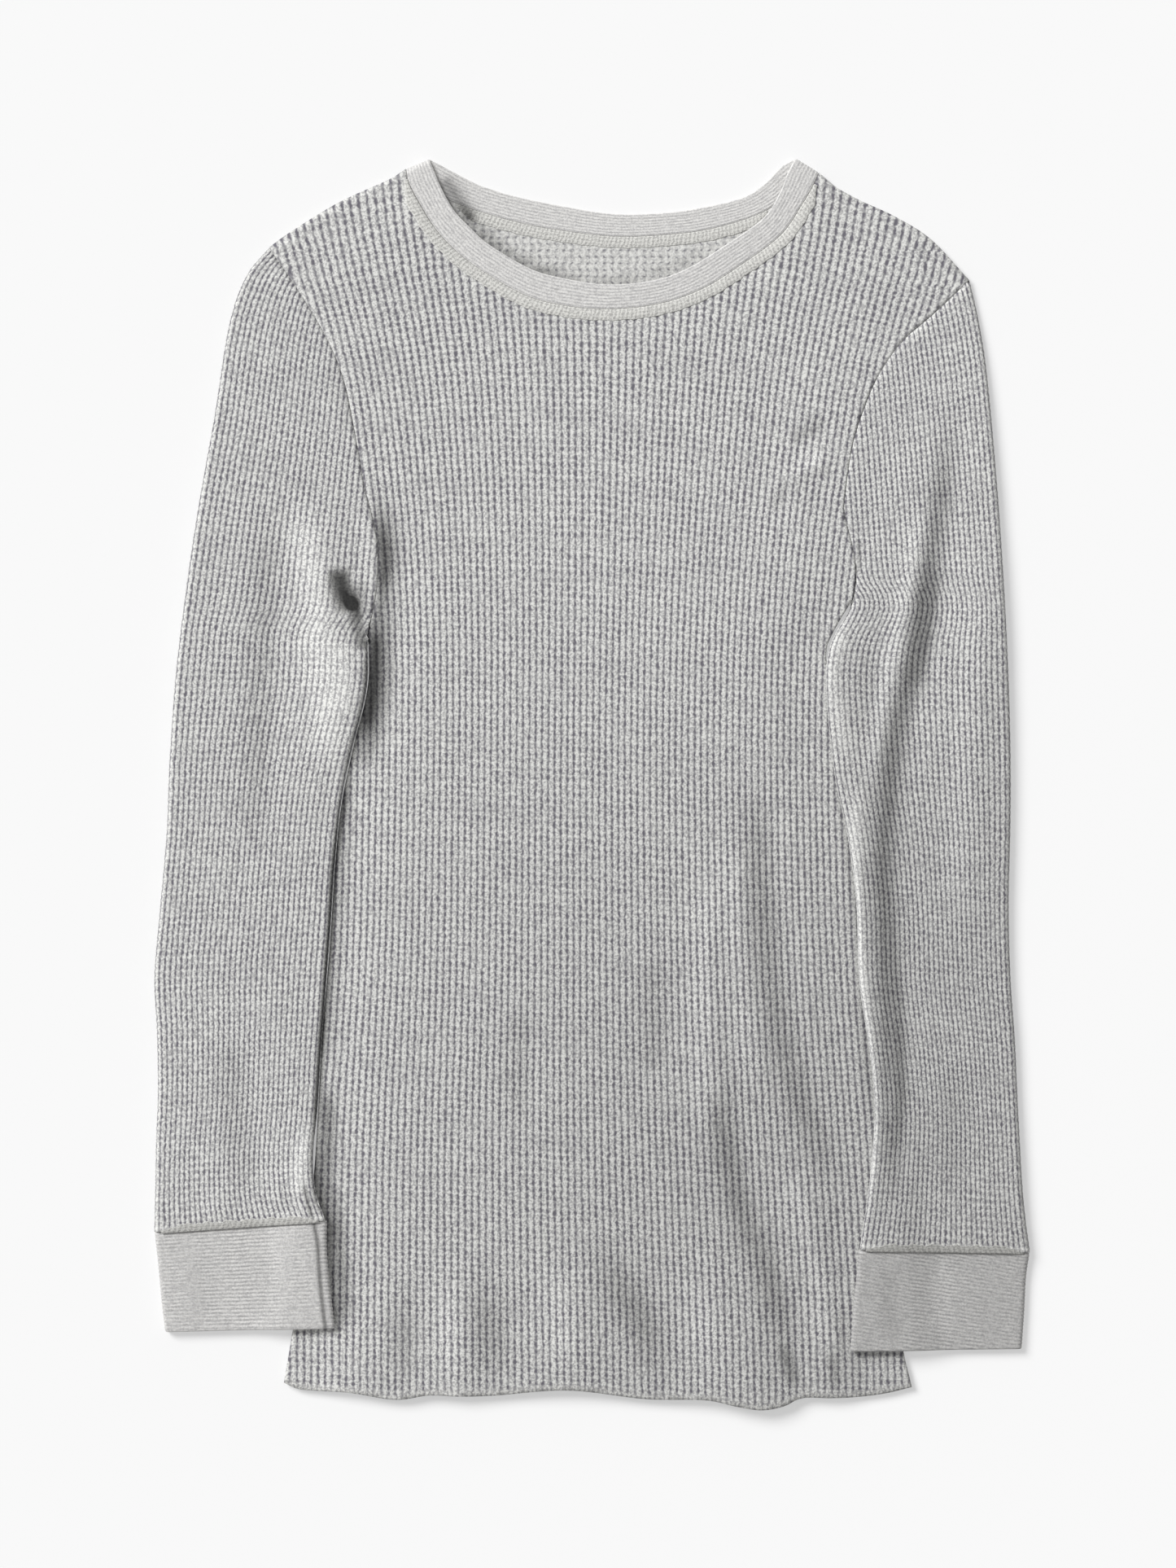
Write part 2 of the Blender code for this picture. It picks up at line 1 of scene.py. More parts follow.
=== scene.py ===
"""A grey marl waffle-knit thermal top, laid flat on its back with both sleeves beside the body.

Seven cut pieces stand for the seven solids: front, back, two sleeves, two cuffs and the neckband.
Every one is a closed wall of cloth whose outer side carries the ribs and pits of its knit, row by row.
Four strips of stitching lie along the neck and cuff seams. Lengths are in mm unless a name says otherwise.
"""

import logging
import math
from collections.abc import Callable
from dataclasses import dataclass, field
from enum import Enum

import bmesh
import bpy
import numpy as np
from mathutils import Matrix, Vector
from mathutils.bvhtree import BVHTree
from mathutils.kdtree import KDTree


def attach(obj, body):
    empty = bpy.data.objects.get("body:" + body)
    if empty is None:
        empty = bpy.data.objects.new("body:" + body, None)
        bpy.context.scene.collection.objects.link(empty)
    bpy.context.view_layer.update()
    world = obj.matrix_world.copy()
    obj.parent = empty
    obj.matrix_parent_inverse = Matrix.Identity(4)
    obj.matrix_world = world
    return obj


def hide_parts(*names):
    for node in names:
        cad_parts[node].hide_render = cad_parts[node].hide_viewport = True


MM = 0.001
CURVE_SAMPLES = 24
OUTLINE_STEP = 0.8
TINY = 1e-9
MERGE_METRES = 1e-6
RIM_TURN = np.linspace(0.0, math.pi, 7)[1:-1]
Points = tuple[tuple[float, ...], ...]
Table = tuple[tuple[float, float], ...]

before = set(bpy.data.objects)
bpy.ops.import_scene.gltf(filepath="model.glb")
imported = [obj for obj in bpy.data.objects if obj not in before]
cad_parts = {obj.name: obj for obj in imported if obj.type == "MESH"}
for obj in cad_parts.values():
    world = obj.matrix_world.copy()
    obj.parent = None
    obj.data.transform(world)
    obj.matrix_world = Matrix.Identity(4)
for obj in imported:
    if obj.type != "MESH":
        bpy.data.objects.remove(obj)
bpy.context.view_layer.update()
logging.basicConfig(level=logging.INFO, format="%(message)s")
log = logging.getLogger("thermal_top")


# ----------------------------------------
# Curves and tables
# ----------------------------------------


def smooth_step(value: np.ndarray) -> np.ndarray:
    """0 below 0, 1 above 1, and a soft S between them."""
    value = np.clip(value, 0.0, 1.0)
    return value * value * (3.0 - 2.0 * value)


def wave(value: np.ndarray) -> np.ndarray:
    """1 where a value is whole and 0 halfway between."""
    return 0.5 + 0.5 * np.cos(2 * np.pi * value)


def spline(rows: Points, numbers: np.ndarray) -> np.ndarray:
    """Reads a table along a smooth curve through its rows.

    Args:
        rows: the table, one row a point.
        numbers: row numbers, which need not be whole.

    Returns:
        One row of values a number.
    """
    rows = np.asarray(rows, float)
    ends = np.vstack([2 * rows[0] - rows[1], rows, 2 * rows[-1] - rows[-2]])
    numbers = np.clip(numbers, 0, len(rows) - 1)
    first = np.minimum(numbers.astype(int), len(rows) - 2)
    t = (numbers - first)[:, None]
    a, b, c, d = (ends[first + step] for step in range(4))
    square, cube = 2 * a - 5 * b + 4 * c - d, 3 * b - a - 3 * c + d
    return 0.5 * (2 * b + (c - a) * t + square * t**2 + cube * t**3)


def run_of(points: np.ndarray) -> np.ndarray:
    """How far along a curve each of its points is."""
    return np.concatenate([[0.0], np.cumsum(np.hypot(*np.diff(points[:, :2], axis=0).T))])


def length_of(points: np.ndarray) -> float:
    """The length of an x, y curve."""
    return float(np.hypot(*np.diff(points, axis=0).T).sum())


def dense(rows: Points, step: float = OUTLINE_STEP) -> np.ndarray:
    """The smooth curve through a table's x and y, as points about a step apart, with its other columns.

    Args:
        rows: the curve's rows, x and y first.
        step: how far apart the points are.

    Returns:
        The points.
    """
    curve = spline(rows, np.linspace(0, len(rows) - 1, CURVE_SAMPLES * len(rows)))
    run = run_of(curve)
    wanted = np.linspace(0, run[-1], max(int(run[-1] / step), 2) + 1)
    return np.column_stack([np.interp(wanted, run, column) for column in curve.T])


def along(rows: Points, fractions: np.ndarray) -> np.ndarray:
    """A table read at fractions of the length of the smooth curve through its x and y.

    Args:
        rows: the curve's rows, x and y first.
        fractions: how far along it to read, from 0 to 1.

    Returns:
        The points.
    """
    curve = dense(rows)
    run = run_of(curve)
    wanted = np.asarray(fractions) * run[-1]
    return np.column_stack([np.interp(wanted, run, column) for column in curve.T])


def set_back(points: np.ndarray, distance: np.ndarray | float) -> np.ndarray:
    """An x, y curve moved sideways, to the left of its direction.

    Args:
        points: an x, y curve.
        distance: how far to its right.

    Returns:
        The moved curve.
    """
    way = np.gradient(points[:, :2], axis=0)
    way /= np.maximum(np.linalg.norm(way, axis=1), TINY)[:, None]
    moved = points[:, :2] + distance * np.column_stack([-way[:, 1], way[:, 0]])
    return np.column_stack([moved, points[:, 2:]])


def read(table: Table, at: np.ndarray) -> np.ndarray:
    """A table of (place, value) pairs read at any place, rising with place."""
    places, values = np.array(sorted(table)).T
    return np.interp(at, places, values)


def softened(values: Callable[[np.ndarray], np.ndarray], at: np.ndarray, step: float) -> np.ndarray:
    """The values at each place, averaged over five places a step apart."""
    shifts = (-2, -1, 0, 1, 2)
    return sum(values(at + shift * step) for shift in shifts) / len(shifts)


class Polyline:
    """A plan curve as dense points that can be asked for its nearest place."""

    def __init__(self, points: np.ndarray) -> None:
        """Keeps the points and a search tree over them.

        Args:
            points: the curve's points, in order.
        """
        self.points = np.asarray(points, float)[:, :2]
        self.tree = KDTree(len(self.points))
        for number, (x, y) in enumerate(self.points):
            self.tree.insert((x, y, 0.0), number)
        self.tree.balance()
        self.run = run_of(self.points)

    def nearest(self, x: np.ndarray, y: np.ndarray) -> tuple[np.ndarray, np.ndarray, np.ndarray]:
        """Finds the nearest place on the curve.

        Args:
            x: places across, in mm.
            y: places along, in mm.

        Returns:
            The distance, the nearest points, and how far along the curve each of them is.
        """
        asked = np.column_stack([np.ravel(x), np.ravel(y)])
        hits = np.array([self.tree.find((a, b, 0.0))[1] for a, b in asked])
        best = np.full(len(asked), np.inf)
        where = np.zeros_like(asked)
        run = np.zeros(len(asked))
        for offset in (-1, 0):
            start = np.clip(hits + offset, 0, len(self.points) - 2)
            base = self.points[start]
            way = self.points[start + 1] - base
            length = np.maximum((way**2).sum(1), 1e-12)
            share = np.clip(((asked - base) * way).sum(1) / length, 0.0, 1.0)
            place = base + share[:, None] * way
            gap = np.hypot(*(asked - place).T)
            closer = gap < best
            best[closer] = gap[closer]
            where[closer] = place[closer]
            run[closer] = (self.run[start] + share * np.sqrt(length))[closer]
        shape = np.shape(x)
        return best.reshape(shape), where.reshape(*shape, 2), run.reshape(shape)


def closed_line(outline: np.ndarray) -> Polyline:
    """The whole way round a closed outline."""
    return Polyline(np.vstack([outline, outline[:1]]))


def inside(outline: np.ndarray, x: np.ndarray, y: np.ndarray, batch: int = 4000) -> np.ndarray:
    """Whether each plan point lies inside a closed outline.

    Args:
        outline: the outline's points, in order.
        x: places across, in mm.
        y: places along, in mm.
        batch: how many points are tested together.

    Returns:
        True for each point that lies inside.
    """
    ax, ay = outline[:, 0], outline[:, 1]
    bx, by = np.roll(ax, -1), np.roll(ay, -1)
    rise = np.where(by == ay, 1e-12, by - ay)
    flat_x, flat_y = np.ravel(x), np.ravel(y)
    found = np.zeros(len(flat_x), bool)
    for start in range(0, len(flat_x), batch):
        px, py = flat_x[start:start + batch, None], flat_y[start:start + batch, None]
        spans = (ay <= py) != (by <= py)
        right_of = px < ax + (py - ay) / rise * (bx - ax)
        found[start:start + batch] = (spans & right_of).sum(1) % 2 == 1
    return found.reshape(np.shape(x))


# ----------------------------------------
# Heights read from the solids
# ----------------------------------------


class Side(Enum):
    """The side of a solid that is read."""

    UPPER = 1
    LOWER = -1


@dataclass
class HeightMap:
    """Heights of one side of a solid over its plan, smoothed so that the solid's facets don't show."""

    node: str
    side: Side
    outline: np.ndarray
    margin: float = 0.6
    step: float = 3.0
    passes: int = 3
    reach: float = 12.0
    above: float = 100.0
    most_rings: int = 200

    def __post_init__(self) -> None:
        """Reads the solid on a plan grid, fills what lies outside it and smooths the result."""
        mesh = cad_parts[self.node].data
        mesh.calc_loop_triangles()
        points = [tuple(vertex.co / MM) for vertex in mesh.vertices]
        tree = BVHTree.FromPolygons(points, [tuple(face.vertices) for face in mesh.loop_triangles])
        low, high = np.min(points, axis=0), np.max(points, axis=0)
        self.xs = np.arange(low[0] - self.reach, high[0] + self.reach, self.step)
        self.ys = np.arange(low[1] - self.reach, high[1] + self.reach, self.step)
        heights = np.full((len(self.ys), len(self.xs)), np.nan)
        start, way = self.above * self.side.value, (0.0, 0.0, -float(self.side.value))
        gx, gy = np.meshgrid(self.xs, self.ys)
        edge = closed_line(self.outline)
        wanted = inside(self.outline, gx, gy) & (edge.nearest(gx, gy)[0] > self.margin)
        for row, column in np.argwhere(wanted):
            hit = tree.ray_cast((self.xs[column], self.ys[row], start), way)[0]
            if hit is not None:
                heights[row, column] = hit.z
        self.heights = self.smooth(self.filled(heights))

    @staticmethod
    def spread(grid: np.ndarray) -> np.ndarray:
        """The nine neighbours of every cell, along a new first axis.

        Args:
            grid: one value at every place, or none.

        Returns:
            The same with its gaps filled a step further.
        """
        padded = np.pad(grid, 1, mode="edge")
        rows, columns = grid.shape
        return np.array([padded[j:j + rows, i:i + columns] for j in range(3) for i in range(3)])

    def filled(self, heights: np.ndarray) -> np.ndarray:
        """The grid with its empty cells filled from their neighbours, ring by ring.

        Args:
            heights: the heights found.

        Returns:
            The heights with no gaps.
        """
        for _ in range(self.most_rings):
            empty = np.isnan(heights)
            if not empty.any():
                break
            near = self.spread(heights)
            count = (~np.isnan(near)).sum(0)
            total = np.nansum(near, axis=0)
            ready = empty & (count > 0)
            heights = heights.copy()
            heights[ready] = total[ready] / count[ready]
        return heights

    def smooth(self, heights: np.ndarray) -> np.ndarray:
        """The grid after a few passes of a soft three by three average.

        Args:
            heights: heights with no gaps.

        Returns:
            The smoothed heights.
        """
        weights = np.array([1, 2, 1, 2, 4, 2, 1, 2, 1]) / 16.0
        for _ in range(self.passes):
            heights = np.tensordot(weights, self.spread(heights), axes=1)
        return heights

    def at(self, x: np.ndarray, y: np.ndarray) -> np.ndarray:
        """The height at each plan point, in mm.

        Args:
            x: places from left to right.
            y: places from hem to neck.

        Returns:
            The height at each.
        """
        just_short = 1.001
        column = np.clip((x - self.xs[0]) / self.step, 0, len(self.xs) - just_short)
        row = np.clip((y - self.ys[0]) / self.step, 0, len(self.ys) - just_short)
        i, j = column.astype(int), row.astype(int)
        u, v = column - i, row - j
        h = self.heights
        lower = h[j, i] * (1 - u) + h[j, i + 1] * u
        upper = h[j + 1, i] * (1 - u) + h[j + 1, i + 1] * u
        return lower * (1 - v) + upper * v


# ----------------------------------------
# Layers of knit
# ----------------------------------------


def cell_middles(values: np.ndarray) -> np.ndarray:
    """The mean of the four points round every cell."""
    return (values[:-1, :-1] + values[1:, 1:] + values[1:, :-1] + values[:-1, 1:]) / 4


def there_and_back(values: np.ndarray) -> np.ndarray:
    """Rows of points that run out over the upper layer of a tube and back along the lower one."""
    return np.hstack([values, values[:, -2::-1]])


def over_folds(width: np.ndarray | float, radius: float) -> np.ndarray | float:
    """The length of knit that covers a laid width from the edge of one round fold to the other's."""
    return width + 2 * (radius * math.pi / 2 - radius)


def round_fold(nearest: np.ndarray, radius: float) -> tuple[np.ndarray, np.ndarray]:
    """Bends the knit round a fold.

    Args:
        nearest: how far along the knit each point is from the nearest fold.
        radius: the radius of the fold.

    Returns:
        How far inside the fold each point lies in plan, and its angle round the fold.
    """
    quarter = radius * math.pi / 2
    bend = np.clip(nearest / quarter, 0.0, 1.0) * math.pi / 2
    return np.where(nearest < quarter, radius * (1 - np.cos(bend)), nearest - quarter + radius), bend


@dataclass
class Layer:
    """One side of a cloth wall as rows of points, each with its column and row of the knit."""

    x: np.ndarray
    y: np.ndarray
    columns: np.ndarray
    rows: np.ndarray
    wraps: bool = False
    z: np.ndarray | None = None
    kept: np.ndarray | None = None
    tidy_rounds: int = 6

    def __post_init__(self) -> None:
        """Starts with no heights and every cell kept."""
        if self.z is None:
            self.z = np.zeros_like(self.x)
        if self.kept is None:
            self.kept = np.ones((self.x.shape[0] - 1, self.x.shape[1] - 1), bool)

    def bordered(self) -> np.ndarray:
        """The kept cells as 0 and 1, with a border that wraps round where the layer does."""
        mode = {"mode": "wrap"} if self.wraps else {}
        return np.pad(np.pad(self.kept.astype(int), ((1, 1), (0, 0))), ((0, 0), (1, 1)), **mode)

    def around(self) -> np.ndarray:
        """How many of the four cells round each point are kept."""
        padded = self.bordered()
        return padded[:-1, :-1] + padded[:-1, 1:] + padded[1:, :-1] + padded[1:, 1:]

    def tidy_cells(self) -> None:
        """Drops cells that hang on by one side, or that touch another at a corner alone."""
        for _ in range(self.tidy_rounds):
            padded = self.bordered()
            beside = padded[:-2, 1:-1] + padded[2:, 1:-1] + padded[1:-1, :-2] + padded[1:-1, 2:]
            weak = self.kept & (beside < 2)
            k = self.kept
            cross = k[1:, 1:] & k[:-1, :-1] & ~k[1:, :-1] & ~k[:-1, 1:]
            other = ~k[1:, 1:] & ~k[:-1, :-1] & k[1:, :-1] & k[:-1, 1:]
            weak[1:, 1:] |= cross
            weak[1:, :-1] |= other
            if not weak.any():
                break
            self.kept = self.kept & ~weak

    def cut(self, outline: np.ndarray, seams: Polyline, corners: Points = ()) -> None:
        """Cuts the layer to an outline and draws its new edge onto the seams.

        Args:
            outline: the closed plan outline that is kept.
            seams: the curve that the cut edge follows.
            corners: sharp points that the edge must pass through.
        """
        self.kept &= inside(outline, cell_middles(self.x), cell_middles(self.y))
        self.tidy_cells()
        around = self.around()
        edge = (around > 0) & (around < 4)
        places = seams.nearest(self.x[edge], self.y[edge])[1]
        self.x[edge], self.y[edge] = places[:, 0], places[:, 1]
        at = np.argwhere(edge)
        for corner in corners:
            gaps = np.hypot(places[:, 0] - corner[0], places[:, 1] - corner[1])
            nearest = gaps.argmin()
            self.x[tuple(at[nearest])], self.y[tuple(at[nearest])] = corner[:2]
            places[nearest] = corner[:2]

    def normals(self) -> np.ndarray:
        """The way out of the cloth at every point.

        Returns:
            One unit vector for every point.
        """
        points = np.stack([self.x, self.y, self.z], axis=-1)
        if self.wraps:
            around = np.concatenate([points[:, -2:-1], points, points[:, 1:2]], axis=1)
            across = around[:, 2:] - around[:, :-2]
        else:
            across = np.gradient(points, axis=1)
        up = np.gradient(points, axis=0)
        way = np.cross(across, up)
        return way / np.maximum(np.linalg.norm(way, axis=-1, keepdims=True), TINY)

    def push(self, distance: np.ndarray) -> None:
        """Moves every point out of the cloth by its distance."""
        way = self.normals() * distance[..., None]
        self.x, self.y, self.z = self.x + way[..., 0], self.y + way[..., 1], self.z + way[..., 2]


def deselect() -> None:
    """Leaves nothing selected."""
    for item in bpy.context.selected_objects:
        item.select_set(False)


def points_of(mesh: bpy.types.Mesh) -> np.ndarray:
    """A mesh's points as rows of x, y and z.

    Args:
        mesh: any mesh.

    Returns:
        Its points, in metres.
    """
    points = np.empty(len(mesh.vertices) * 3)
    mesh.vertices.foreach_get("co", points)
    return points.reshape(-1, 3)


def knit_layer(name: str, layer: Layer, facing: int, notes: dict[str, np.ndarray]) -> bpy.types.Object:
    """Makes a layer from a primitive grid whose points are laid out row by row.

    Args:
        name: the object's name.
        layer: the layer's points.
        facing: 1 where its rows and columns already turn the faces outwards, -1 where they don't.
        notes: values at every point, kept as attributes of those names.

    Returns:
        The new object.
    """
    rows, columns = layer.x.shape
    deselect()
    bpy.ops.mesh.primitive_grid_add(x_subdivisions=columns - 1, y_subdivisions=rows - 1, size=1.0)
    piece = bpy.context.active_object
    piece.name = piece.data.name = name
    mesh = piece.data
    flat = points_of(mesh)
    column = np.rint((flat[:, 0] + 0.5) * (columns - 1)).astype(int)
    row = np.rint((flat[:, 1] + 0.5) * (rows - 1)).astype(int)
    places = np.column_stack([layer.x[row, column], layer.y[row, column], layer.z[row, column]]) * MM
    mesh.vertices.foreach_set("co", places.ravel())
    corners = np.empty(len(mesh.loops), int)
    mesh.loops.foreach_get("vertex_index", corners)
    while mesh.uv_layers:
        mesh.uv_layers.remove(mesh.uv_layers[0])
    knit = np.column_stack([layer.columns[row, column], layer.rows[row, column]])[corners]
    mesh.uv_layers.new(name="knit").data.foreach_set("uv", knit.ravel())
    for note, values in notes.items():
        store = mesh.attributes.new(note, "FLOAT", "POINT")
        store.data.foreach_set("value", values[row, column].astype(np.float32))
    cell_column = np.array([min(column[index] for index in face.vertices) for face in mesh.polygons])
    cell_row = np.array([min(row[index] for index in face.vertices) for face in mesh.polygons])
    dropped = ~layer.kept[cell_row, cell_column]
    bpy.context.tool_settings.mesh_select_mode = (False, False, True)
    mesh.polygons.foreach_set("select", dropped)
    bpy.ops.object.mode_set(mode="EDIT")
    bpy.ops.mesh.delete(type="FACE")
    if facing < 0:
        bpy.ops.mesh.select_all(action="SELECT")
        bpy.ops.mesh.flip_normals()
    if layer.wraps:
        bpy.ops.mesh.select_all(action="SELECT")
        bpy.ops.mesh.remove_doubles(threshold=MERGE_METRES)
    bpy.ops.object.mode_set(mode="OBJECT")
    return piece


def open_loops(mesh: bpy.types.Mesh) -> list[list[int]]:
    """The open edges of a mesh as ordered loops of point numbers, in the direction of its faces.

    Args:
        mesh: any mesh.

    Returns:
        Each loop's points, in order.
    """
    sides: dict[tuple[int, int], None] = {}
    for face in mesh.polygons:
        ring = list(face.vertices)
        sides.update(dict.fromkeys(zip(ring, ring[1:] + ring[:1])))
    follows = {start: end for start, end in sides if (end, start) not in sides}
    loops = []
    while follows:
        start = next(iter(follows))
        loop = [start]
        step = follows.pop(start)
        while step != start and step in follows:
            loop.append(step)
            step = follows.pop(step)
        loops.append(loop)
    return [loop for loop in loops if len(loop) > 2]


def zip_loops(points: np.ndarray, first: list[int], second: list[int]) -> list[tuple[int, int, int]]:
    """Triangles that close the gap between two loops that run beside each other, in opposite directions.

    Args:
        points: every point of the mesh.
        first: the numbers of the first loop's points.
        second: the numbers of the second loop's points.

    Returns:
        The triangles, facing outwards.
    """
    second = second[::-1]
    gaps = np.linalg.norm(points[second] - points[first[0]], axis=1)
    turn = int(gaps.argmin())
    second = second[turn:] + second[:turn]
    faces = []
    i = j = 0
    while i < len(first) or j < len(second):
        a, b = first[i % len(first)], second[j % len(second)]
        next_a, next_b = first[(i + 1) % len(first)], second[(j + 1) % len(second)]
        to_a = np.linalg.norm(points[next_a] - points[b]) if i < len(first) else np.inf
        to_b = np.linalg.norm(points[next_b] - points[a]) if j < len(second) else np.inf
        if to_a <= to_b:
            faces.append((next_a, a, b))
            i += 1
        else:
            faces.append((a, b, next_b))
            j += 1
    return faces


def close_wall(outer: bpy.types.Object, inner: bpy.types.Object) -> bpy.types.Object:
    """Joins two layers and closes the rims between them, so that they make one wall of cloth.

    Args:
        outer: the layer that faces out, whose name and values are kept.
        inner: the layer inside it, facing the other way.

    Returns:
        The closed wall.
    """
    outer_count = len(outer.data.vertices)
    deselect()
    inner.select_set(True)
    outer.select_set(True)
    bpy.context.view_layer.objects.active = outer
    bpy.ops.object.join()
    points = points_of(outer.data)
    loops = open_loops(outer.data)
    log.info("%s: open edges of %s points", outer.name, [len(loop) for loop in loops])
    outside = [loop for loop in loops if loop[0] < outer_count]
    within = [loop for loop in loops if loop[0] >= outer_count]
    faces = []
    for loop in sorted(outside, key=len, reverse=True):
        if not within:
            break
        centre = points[loop].mean(0)
        match = min(within, key=lambda other: float(np.linalg.norm(points[other].mean(0) - centre)))
        within.remove(match)
        faces += zip_loops(points, loop, match)
    add_faces(outer, faces)
    return outer


def add_faces(piece: bpy.types.Object, faces: list[tuple[int, ...]]) -> None:
    """Adds triangles to a piece, with the knit's places of the points that they join.

    Args:
        piece: the piece they join.
        faces: the points of each new face.
    """
    mesh = piece.data
    bm = bmesh.new()
    bm.from_mesh(mesh)
    bm.verts.ensure_lookup_table()
    knit = bm.loops.layers.uv["knit"]
    places = {}
    for face in bm.faces:
        for corner in face.loops:
            places.setdefault(corner.vert.index, corner[knit].uv.copy())
    for corners in faces:
        try:
            face = bm.faces.new([bm.verts[index] for index in corners])
        except ValueError:
            continue
        home = places.get(corners[0])
        for corner in face.loops:
            corner[knit].uv = places.get(corner.vert.index, home)
    bm.to_mesh(mesh)
    bm.free()


def finish_cloth(piece: bpy.types.Object, node: str, finish: bpy.types.Material) -> None:
    """Dresses a piece and lets it stand for its solid."""
    dress(piece, finish)
    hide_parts(node)


def dress(piece: bpy.types.Object, finish: bpy.types.Material) -> None:
    """Smooths a piece, gives it its finish and reports it.

    Args:
        piece: the piece.
        finish: its material.
    """
    mesh = piece.data
    mesh.shade_smooth()
    mesh.materials.clear()
    mesh.materials.append(finish)
    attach(piece, "root")
    loops = open_loops(mesh)
    triangles = sum(len(face.vertices) - 2 for face in mesh.polygons)
    log.info("%s: %d triangles, %d open loops", piece.name, triangles, len(loops))


# ----------------------------------------
# The shape of the top
# ----------------------------------------


@dataclass
class Plan:
    """Where every edge and seam of the top lies, with x from left to right and y from hem to neck."""

    left_side: Points = (
        (-174, -338), (-169, -308.5), (-163.5, -275), (-157.5, -225), (-155, -190),
        (-152.5, -144.5), (-149.5, -109), (-147.5, -83.5), (-145, -45), (-141.5, -12),
        (-134.5, 22), (-128.5, 45), (-126, 62), (-126.5, 83),
    )
    right_side: Points = (
        (180.5, -340.5), (175, -316), (169.5, -275), (166, -238), (163, -201),
        (159.5, -144.5), (155, -83.5), (151, -40), (146.5, 1), (141, 33.5), (135, 58.5),
        (132, 74), (137, 87), (146.5, 103),
    )
    left_armhole: Points = (
        (-127.5, 82.5), (-124, 97), (-121.5, 111), (-121, 133.5), (-124.5, 152.5),
        (-128.5, 167.5), (-132.5, 190.5), (-140, 227), (-150, 251.5), (-165, 277),
        (-182.5, 302.5),
    )
    right_armhole: Points = (
        (147.5, 103.5), (149.3, 118.5), (147, 134), (142.5, 152.5), (143, 165), (147.5, 193.5),
        (157.5, 222), (166, 237.5), (176.5, 251), (191.5, 264), (213, 284),
    )
    left_shoulder: Points = (
        (-182.5, 302.5), (-170, 311.5), (-143, 328), (-115.5, 340.5), (-105, 347),
    )
    right_shoulder: Points = (
        (128, 345), (135.5, 338), (150.5, 329.5), (171, 320), (191.5, 307), (213, 284),
    )
    hem: Points = (
        (-174, -338), (-163.5, -342), (-137, -343.5), (-111, -347.5), (-92, -345),
        (-74, -345.5), (-54, -345), (-13.5, -342), (29.5, -347), (63.5, -347.5),
        (81.5, -351), (95.5, -353), (108, -351), (118.5, -346.5), (135, -346.5),
        (150, -346), (166, -344), (180.5, -340.5),
    )
    front_band_edge: Points = (
        (-92, 352.5), (-89, 345.5), (-84.5, 335), (-77.5, 323), (-68.5, 313.5), (-58, 304),
        (-35, 290.5), (-16, 285), (9, 281.5), (35.5, 284), (54.5, 291), (72.5, 302),
        (96.5, 319), (106.5, 334.5), (110.5, 345), (115, 353),
    )
    front_band_seam: Points = (
        (-105, 347), (-103, 338), (-97, 326.5), (-89.5, 314.5), (-79.5, 303),
        (-66, 292), (-40, 276.5), (-18, 270), (9, 267.5), (37.5, 270.5), (61, 278.5),
        (81, 290.5), (106, 309), (119, 327.5), (125, 338), (128, 345),
    )
    back_band_edge: Points = (
        (-92, 352.5), (-85, 349), (-70, 341), (-59.5, 336.5), (-38.5, 330.5), (-2, 323.5),
        (17, 321.5), (35.5, 322), (54.5, 324), (82.5, 330), (96.5, 338), (106.5, 348),
        (115, 353),
    )
    back_band_seam: Points = (
        (-105, 347), (-95, 337), (-72, 326), (-42, 317), (-15, 312), (14, 309),
        (42, 310), (68, 313.5), (96, 322.5), (116, 336), (128, 345),
    )
    seam_gap: float = 0.15
    back_hem_short: float = 2.5
    hem_fullness: float = 0.2

    def panel_edges(self, neck_seam: Points, hem_short: float) -> tuple[np.ndarray, Points]:
        """The outline of a body panel.

        Args:
            neck_seam: the seam to the neckband.
            hem_short: how much shorter than the front's the hem is.

        Returns:
            The closed outline and its sharp corners.
        """
        left = dense(self.left_side)
        left_hole = set_back(dense(self.left_armhole), -self.seam_gap)
        right = dense(self.right_side)
        right_hole = set_back(dense(self.right_armhole), self.seam_gap)
        neck = set_back(dense(neck_seam), -self.seam_gap)
        hem = dense(self.hem)
        share = np.linspace(0.0, 1.0, len(hem))
        hem[:, 1] += hem_short * np.sin(np.pi * share) ** self.hem_fullness
        outline = np.vstack([
            hem, right, right_hole, dense(self.right_shoulder)[::-1], neck[::-1],
            dense(self.left_shoulder)[::-1], left_hole[::-1], left[::-1],
        ])
        corners = (
            tuple(hem[0]), tuple(hem[-1]), tuple(right_hole[-1]), tuple(left_hole[-1]),
            tuple(neck[0]), tuple(neck[-1]),
        )
        return outline, corners


PLAN = Plan()


@dataclass(frozen=True)
class Crease:
    """A soft ridge, or a trough where height is negative, along a curve through its points.

    dark is the painted shade along it, the share by which the cloth's colour is darkened, and where it is
    negative a painted highlight that lightens it; plain is how far the knit there is pressed smooth. A higher
    power gives it firmer sides.
    """

    points: Table
    half_width: float
    height: float = 0.0
    dark: float = 0.0
    plain: float = 0.0
    ends: float = 0.25
    power: float = 2.0


